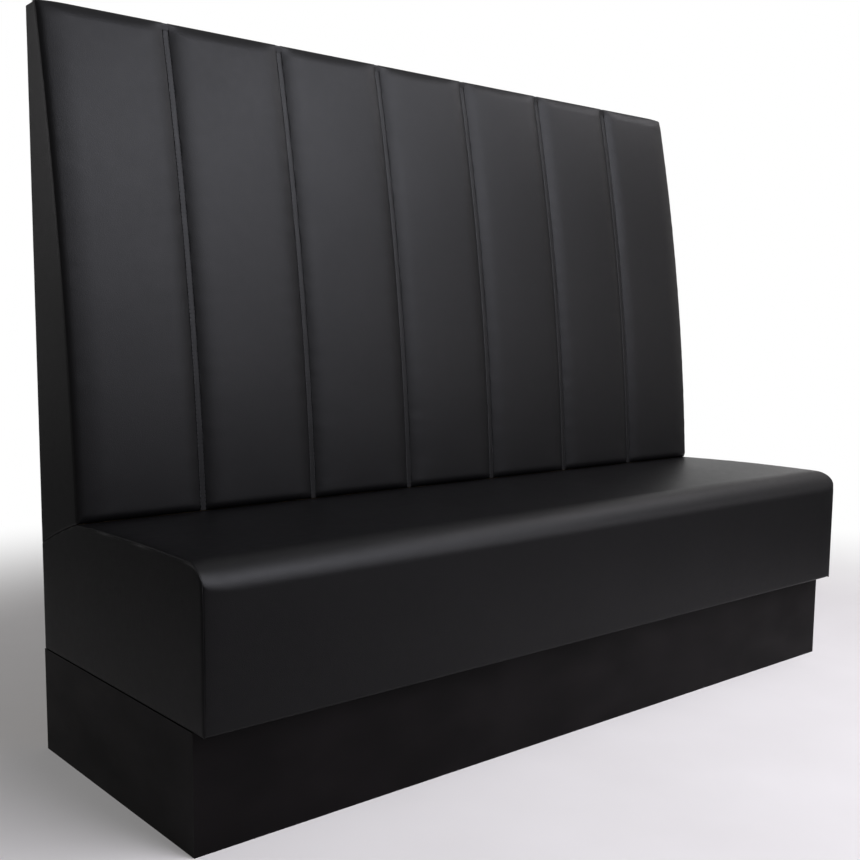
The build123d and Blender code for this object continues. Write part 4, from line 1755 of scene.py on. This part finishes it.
    def foam_block(self) -> None:
        """Builds the seat's foam block under the cover."""
        self.block("seat_foam", "seat_foam_block", self.seat_foam_softness)

    def apron_foam(self) -> None:
        """Builds the foam sheet on the front board."""
        self.block("apron_foam", "apron_foam_sheet", self.apron_foam_softness)

    def block(self, node: str, name: str, softness: float) -> None:
        """Makes a soft-edged foam piece from its own node's form.

        Args:
            node: the node that it stands for.
            name: the piece's name.
            softness: how far its edges are eased.
        """
        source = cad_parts[node]
        piece = bpy.data.objects.new(name, source.data.copy())
        bpy.context.scene.collection.objects.link(piece)
        work = bmesh.new()
        work.from_mesh(piece.data)
        bmesh.ops.remove_doubles(work, verts=work.verts, dist=self.foam_weld)
        flat = math.radians(self.foam_flat)
        bmesh.ops.dissolve_limit(work, angle_limit=flat, verts=work.verts, edges=work.edges)
        least = math.radians(self.foam_edge)
        whole = [edge for edge in work.edges if len(edge.link_faces) == 2]
        sharp = [edge for edge in whole if edge.calc_face_angle(0.0) > least]
        bmesh.ops.bevel(
            work,
            geom=sharp,
            offset=softness,
            segments=self.foam_segments,
            profile=self.foam_profile,
            affect="EDGES",
            clamp_overlap=True,
        )
        bmesh.ops.triangulate(work, faces=work.faces)
        bmesh.ops.recalc_face_normals(work, faces=work.faces)
        work.to_mesh(piece.data)
        work.free()
        piece.data.polygons.foreach_set("use_smooth", [True] * len(piece.data.polygons))
        piece.data.set_sharp_from_angle(angle=math.radians(self.foam_crease))
        self.finishes.dress(piece, Slot.FOAM)
        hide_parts(node)

    @staticmethod
    def panel_steps(low: float, low_count: int, count: int, high: float, high_count: int) -> np.ndarray:
        """Spaces shares from 0 to 1, closer at both ends.

        Args:
            low: share of the close steps at the start.
            low_count: number of points in it.
            count: number of points between.
            high: share of the close steps at the end.
            high_count: number of points in it.

        Returns:
            The shares.
        """
        middle = np.linspace(low, 1 - high, count)
        last = 1 - quarter_steps(high, high_count)[::-1]
        return np.concatenate([quarter_steps(low, low_count), middle[1:], last[1:]])

    def end_cover(self, side: Side) -> None:
        """Builds the flat wadded cover of one end of the seat box.

        Args:
            side: which end.
        """
        outline = self.outline
        section = self.section(1.0)
        joint = np.stack([np.linspace(0.0, self.start_depth, self.rear_points)] * 2, axis=1)
        joint[:, 1] = outline.joint_height(joint[:, 0])
        roof = np.concatenate([joint[:-1], section])
        front_most = int(np.argmax(roof[:, 0]))
        roof = roof[: front_most + 1]
        front = roof[-1, 0]
        depth = self.panel_steps(*self.panel_columns) * (front - self.panel_gap)
        top = np.interp(depth, roof[:, 0], roof[:, 1]) - self.panel_gap
        up = self.panel_steps(*self.panel_rows)
        bottom = outline.hem_height + self.panel_foot_gap
        height = bottom + up[:, None] * (top - bottom)[None, :]
        depth = depth[None, :] + 0.0 * height
        roof_depth, roof_height = roof[None, None, :, 0], roof[None, None, :, 1]
        gap = (roof_depth - depth[..., None]) ** 2 + (roof_height - height[..., None]) ** 2
        border = np.minimum.reduce([np.sqrt(gap.min(axis=-1)), depth, front - depth, height - bottom])
        outer, inner = self.wadding.skins(outline, side, depth, height, border)
        name = side.name.lower()
        piece = mesh_object(f"seat_end_panel_{name}", *slab(outer, inner), sharp=SEWN_CREASE)
        self.finishes.dress(piece, Slot.VINYL)
        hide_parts(f"seat_end_cover_{name}")


@dataclass
class Carcass:
    """The plinth, the seat box and the back's frame, which keep their nodes and take their finishes."""

    finishes: Finishes
    laminate: tuple[str, ...] = ("plinth_front_board", "plinth_end_board_left", "plinth_end_board_right")
    lining: tuple[str, ...] = ("back_rear_lining", "seat_base_lining")
    steel: tuple[str, ...] = ("plinth_bolts", "plinth_nuts", "joining_plates", "joining_screws")
    softwood_words: tuple[str, ...] = ("bearer", "block", "rail", "rib")

    def build(self) -> None:
        """Gives every node that no soft piece stands for its finish."""
        for name, node in sorted(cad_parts.items()):
            if node.hide_render:
                continue
            self.finishes.dress_node(name, self.slot_of(name))

    def slot_of(self, name: str) -> Slot:
        """Chooses a node's slot by its name.

        Args:
            name: the node's name.

        Returns:
            The slot.
        """
        if name in self.laminate:
            return Slot.LAMINATE
        if name in self.lining:
            return Slot.LINING
        if name in self.steel:
            return Slot.STEEL
        if any(word in name for word in self.softwood_words):
            return Slot.SOFTWOOD
        return Slot.PLYWOOD


@dataclass(frozen=True)
class Lamp:
    """A soft rectangular light."""

    name: str
    place: Triple
    target: Triple
    size: Span
    power: float
    colour: Triple

    def build(self) -> None:
        """Hangs the light and turns it to its target."""
        data = bpy.data.lights.new(self.name, "AREA")
        data.shape = "RECTANGLE"
        data.size, data.size_y = self.size
        data.energy = self.power
        data.color = self.colour
        lamp = bpy.data.objects.new(self.name, data)
        lamp.location = self.place
        way = Vector(self.target) - Vector(self.place)
        lamp.rotation_euler = way.to_track_quat("-Z", "Y").to_euler()
        bpy.context.scene.collection.objects.link(lamp)


@dataclass
class Studio:
    """The plain floor, the pale surroundings, the lights and the camera."""

    lamps: tuple[Lamp, ...] = (
        Lamp("key_softbox", (0.65, -2.3, 2.9), (-0.5, 0.2, 1.0), (2.8, 1.4), 136.0, (0.90, 0.91, 1.0)),
        Lamp("fill_softbox", (1.0, -3.0, 1.7), (-0.4, 0.2, 0.9), (2.4, 1.2), 54.0, (0.90, 0.90, 1.0)),
        Lamp("top_softbox", (0.2, -0.7, 3.3), (0.0, 0.0, 0.6), (3.0, 1.6), 8.0, (0.94, 0.95, 1.0)),
        Lamp("right_softbox", (2.6, -0.6, 2.9), (0.0, -0.3, 0.5), (1.2, 1.2), 22.0, (0.97, 0.95, 1.0)),
        Lamp("side_softbox", (2.9, -2.6, 1.6), (0.3, 0.2, 0.9), (1.4, 1.2), 13.0, (1.0, 0.95, 0.98)),
        Lamp("wall_softbox", (3.0, 0.2, 1.6), (0.5, 0.1, 0.9), (1.8, 1.8), 6.0, (1.0, 0.94, 0.94)),
        Lamp("rear_softbox", (-2.8, 1.9, 1.8), (-0.9, 0.0, 0.9), (1.6, 1.2), 14.0, (1.0, 0.97, 1.0)),
    )
    floor_dark: Triple = (0.62, 0.59, 0.575)
    floor_light: Triple = (0.66, 0.63, 0.615)
    floor_mottle: float = 3.0
    floor_rough: float = 0.9
    floor_gloss: float = 0.1
    surround: float = 0.05
    side_tone: float = 0.3
    floor_tone: float = 0.02
    floor_tone_near: float = 2.0
    floor_tone_far: float = 9.0
    tone_low: float = 0.86
    tone_high: float = 0.89
    floor_half: float = 30.0
    view_reach: float = 120.0
    shadow_near: float = 1.3
    shadow_far: float = 2.8
    near_share: float = 0.16
    focal_pixels: float = 1084.7
    picture: float = 860.0
    principal: Point = (350.0, 458.6)
    sensor: float = 36.0
    eye: Triple = (-1.6882, -1.6622, 0.8023)
    yaw: float = -0.66251
    pitch: float = -0.11433
    roll: float = 0.00184

    def build(self) -> None:
        """Sets up everything around the bench."""
        for lamp in self.lamps:
            lamp.build()
        self.world()
        self.floor()
        self.camera()
        bpy.context.scene.view_settings.view_transform = "Standard"

    def seen_white(self, tree: bpy.types.NodeTree) -> bpy.types.NodeSocket:
        """Tells the rays that see the pale surroundings from those that only light the bench.

        Args:
            tree: the node tree to add to.

        Returns:
            A number that is 1 for camera, glossy and transmission rays.
        """
        path = tree.nodes.new("ShaderNodeLightPath")
        total = path.outputs["Is Camera Ray"]
        for name in ("Is Glossy Ray", "Is Transmission Ray"):
            more = tree.nodes.new("ShaderNodeMath")
            more.operation = "MAXIMUM"
            tree.links.new(total, more.inputs[0])
            tree.links.new(path.outputs[name], more.inputs[1])
            total = more.outputs["Value"]
        return total

    def tone(
        self, tree: bpy.types.NodeTree, way: bpy.types.NodeSocket, far: bpy.types.NodeSocket | None = None
    ) -> bpy.types.NodeSocket:
        """Shades the pale surroundings: white behind the bench, greyer at the sides and in front.

        Args:
            tree: the node tree to add to.
            way: the direction looked in.
            far: the side tone, where it isn't the usual one.

        Returns:
            The tone as a strength.
        """
        level = tree.nodes.new("ShaderNodeVectorMath")
        level.operation = "MULTIPLY"
        level.inputs[1].default_value = (1.0, 1.0, 0.0)
        tree.links.new(way, level.inputs[0])
        unit = tree.nodes.new("ShaderNodeVectorMath")
        unit.operation = "NORMALIZE"
        tree.links.new(level.outputs["Vector"], unit.inputs[0])
        along = tree.nodes.new("ShaderNodeVectorMath")
        along.operation = "DOT_PRODUCT"
        along.inputs[1].default_value = (-math.sin(self.yaw), math.cos(self.yaw), 0.0)
        tree.links.new(unit.outputs["Vector"], along.inputs[0])
        made = tree.nodes.new("ShaderNodeMapRange")
        made.interpolation_type = "SMOOTHSTEP"
        made.inputs["From Min"].default_value = self.tone_low
        made.inputs["From Max"].default_value = self.tone_high
        made.inputs["To Min"].default_value = self.side_tone
        if far is not None:
            tree.links.new(far, made.inputs["To Min"])
        tree.links.new(along.outputs["Value"], made.inputs["Value"])
        return made.outputs["Result"]

    def world(self) -> None:
        """Makes the surroundings pale to look at and softer as light."""
        world = bpy.data.worlds.new("pale_surroundings")
        bpy.context.scene.world = world
        world.use_nodes = True
        tree = world.node_tree
        tree.nodes.clear()
        output = tree.nodes.new("ShaderNodeOutputWorld")
        mix = tree.nodes.new("ShaderNodeMixShader")
        light = tree.nodes.new("ShaderNodeBackground")
        light.inputs["Strength"].default_value = self.surround
        pale = tree.nodes.new("ShaderNodeBackground")
        for background in (light, pale):
            background.inputs["Color"].default_value = WHITE
        way = tree.nodes.new("ShaderNodeTexCoord").outputs["Generated"]
        tree.links.new(self.tone(tree, way), pale.inputs["Strength"])
        tree.links.new(self.seen_white(tree), mix.inputs["Fac"])
        tree.links.new(light.outputs["Background"], mix.inputs[1])
        tree.links.new(pale.outputs["Background"], mix.inputs[2])
        tree.links.new(mix.outputs["Shader"], output.inputs["Surface"])

    def floor(self) -> None:
        """Lays a pale floor that keeps the bench's shadow near it and joins the surroundings further off."""
        half = self.floor_half
        corners = np.array([[-half, -half, 0.0], [half, -half, 0.0], [half, half, 0.0], [-half, half, 0.0]])
        floor = mesh_object("studio_floor", corners, np.array([[0, 1, 2, 3]]))
        sheet = NodeSheet("pale_floor")
        tree = sheet.tree
        sheet.surface.inputs["Roughness"].default_value = self.floor_rough
        sheet.surface.inputs["Specular IOR Level"].default_value = self.floor_gloss
        mottle = sheet.noise(self.floor_mottle, SOFT_DETAIL)
        colour = sheet.ramp(mottle, NOISE_SPAN, self.floor_dark, self.floor_light)
        sheet.link(colour, sheet.surface.inputs["Base Color"])
        glow = tree.nodes.new("ShaderNodeEmission")
        glow.inputs["Color"].default_value = WHITE
        way = tree.nodes.new("ShaderNodeVectorMath")
        way.operation = "SUBTRACT"
        way.inputs[1].default_value = self.eye
        sheet.link(sheet.place, way.inputs[0])
        length = tree.nodes.new("ShaderNodeVectorMath")
        length.operation = "LENGTH"
        sheet.link(sheet.place, length.inputs[0])
        tones, reach = (self.floor_tone, self.side_tone), (self.floor_tone_near, self.floor_tone_far)
        side = sheet.spread(length.outputs["Value"], tones, reach)
        sheet.link(self.tone(tree, way.outputs["Vector"], side), glow.inputs["Strength"])
        fade = (self.shadow_near, self.shadow_far)
        far = sheet.spread(length.outputs["Value"], (self.near_share, 1.0), fade, smooth=True)
        share = sheet.math("MULTIPLY", far, self.seen_white(tree))
        mix = tree.nodes.new("ShaderNodeMixShader")
        sheet.link(share, mix.inputs["Fac"])
        sheet.link(sheet.surface.outputs["BSDF"], mix.inputs[1])
        sheet.link(glow.outputs["Emission"], mix.inputs[2])
        sheet.link(mix.outputs["Shader"], sheet.output.inputs["Surface"])
        floor.data.materials.append(sheet.material)

    def camera(self) -> None:
        """Stands the camera where the photograph was taken from."""
        data = bpy.data.cameras.new("photo_camera")
        data.sensor_width = self.sensor
        data.lens = self.focal_pixels / self.picture * self.sensor
        data.shift_x = (self.picture / 2 - self.principal[0]) / self.picture
        data.shift_y = (self.principal[1] - self.picture / 2) / self.picture
        data.clip_end = self.view_reach
        level = math.cos(self.pitch)
        ahead = Vector((-math.sin(self.yaw) * level, math.cos(self.yaw) * level, math.sin(self.pitch)))
        side = ahead.cross(Vector((0.0, 0.0, 1.0))).normalized()
        above = side.cross(ahead)
        right = side * math.cos(self.roll) + above * math.sin(self.roll)
        up = above * math.cos(self.roll) - side * math.sin(self.roll)
        camera = bpy.data.objects.new("photo_camera", data)
        turn = Matrix((right, up, -ahead)).transposed().to_4x4()
        camera.matrix_world = Matrix.Translation(Vector(self.eye)) @ turn
        bpy.context.scene.collection.objects.link(camera)
        bpy.context.scene.camera = camera


def main() -> None:
    """Builds the bench's soft pieces, dresses its frame and sets up the studio."""
    logging.basicConfig(level=logging.INFO, format="%(message)s")
    outline = BenchOutline.from_frame()
    finishes = Finishes()
    ChannelledBack(outline, finishes).build()
    SeatCushion(outline, finishes).build()
    Carcass(finishes).build()
    Studio().build()


if __name__ == "__main__":
    main()
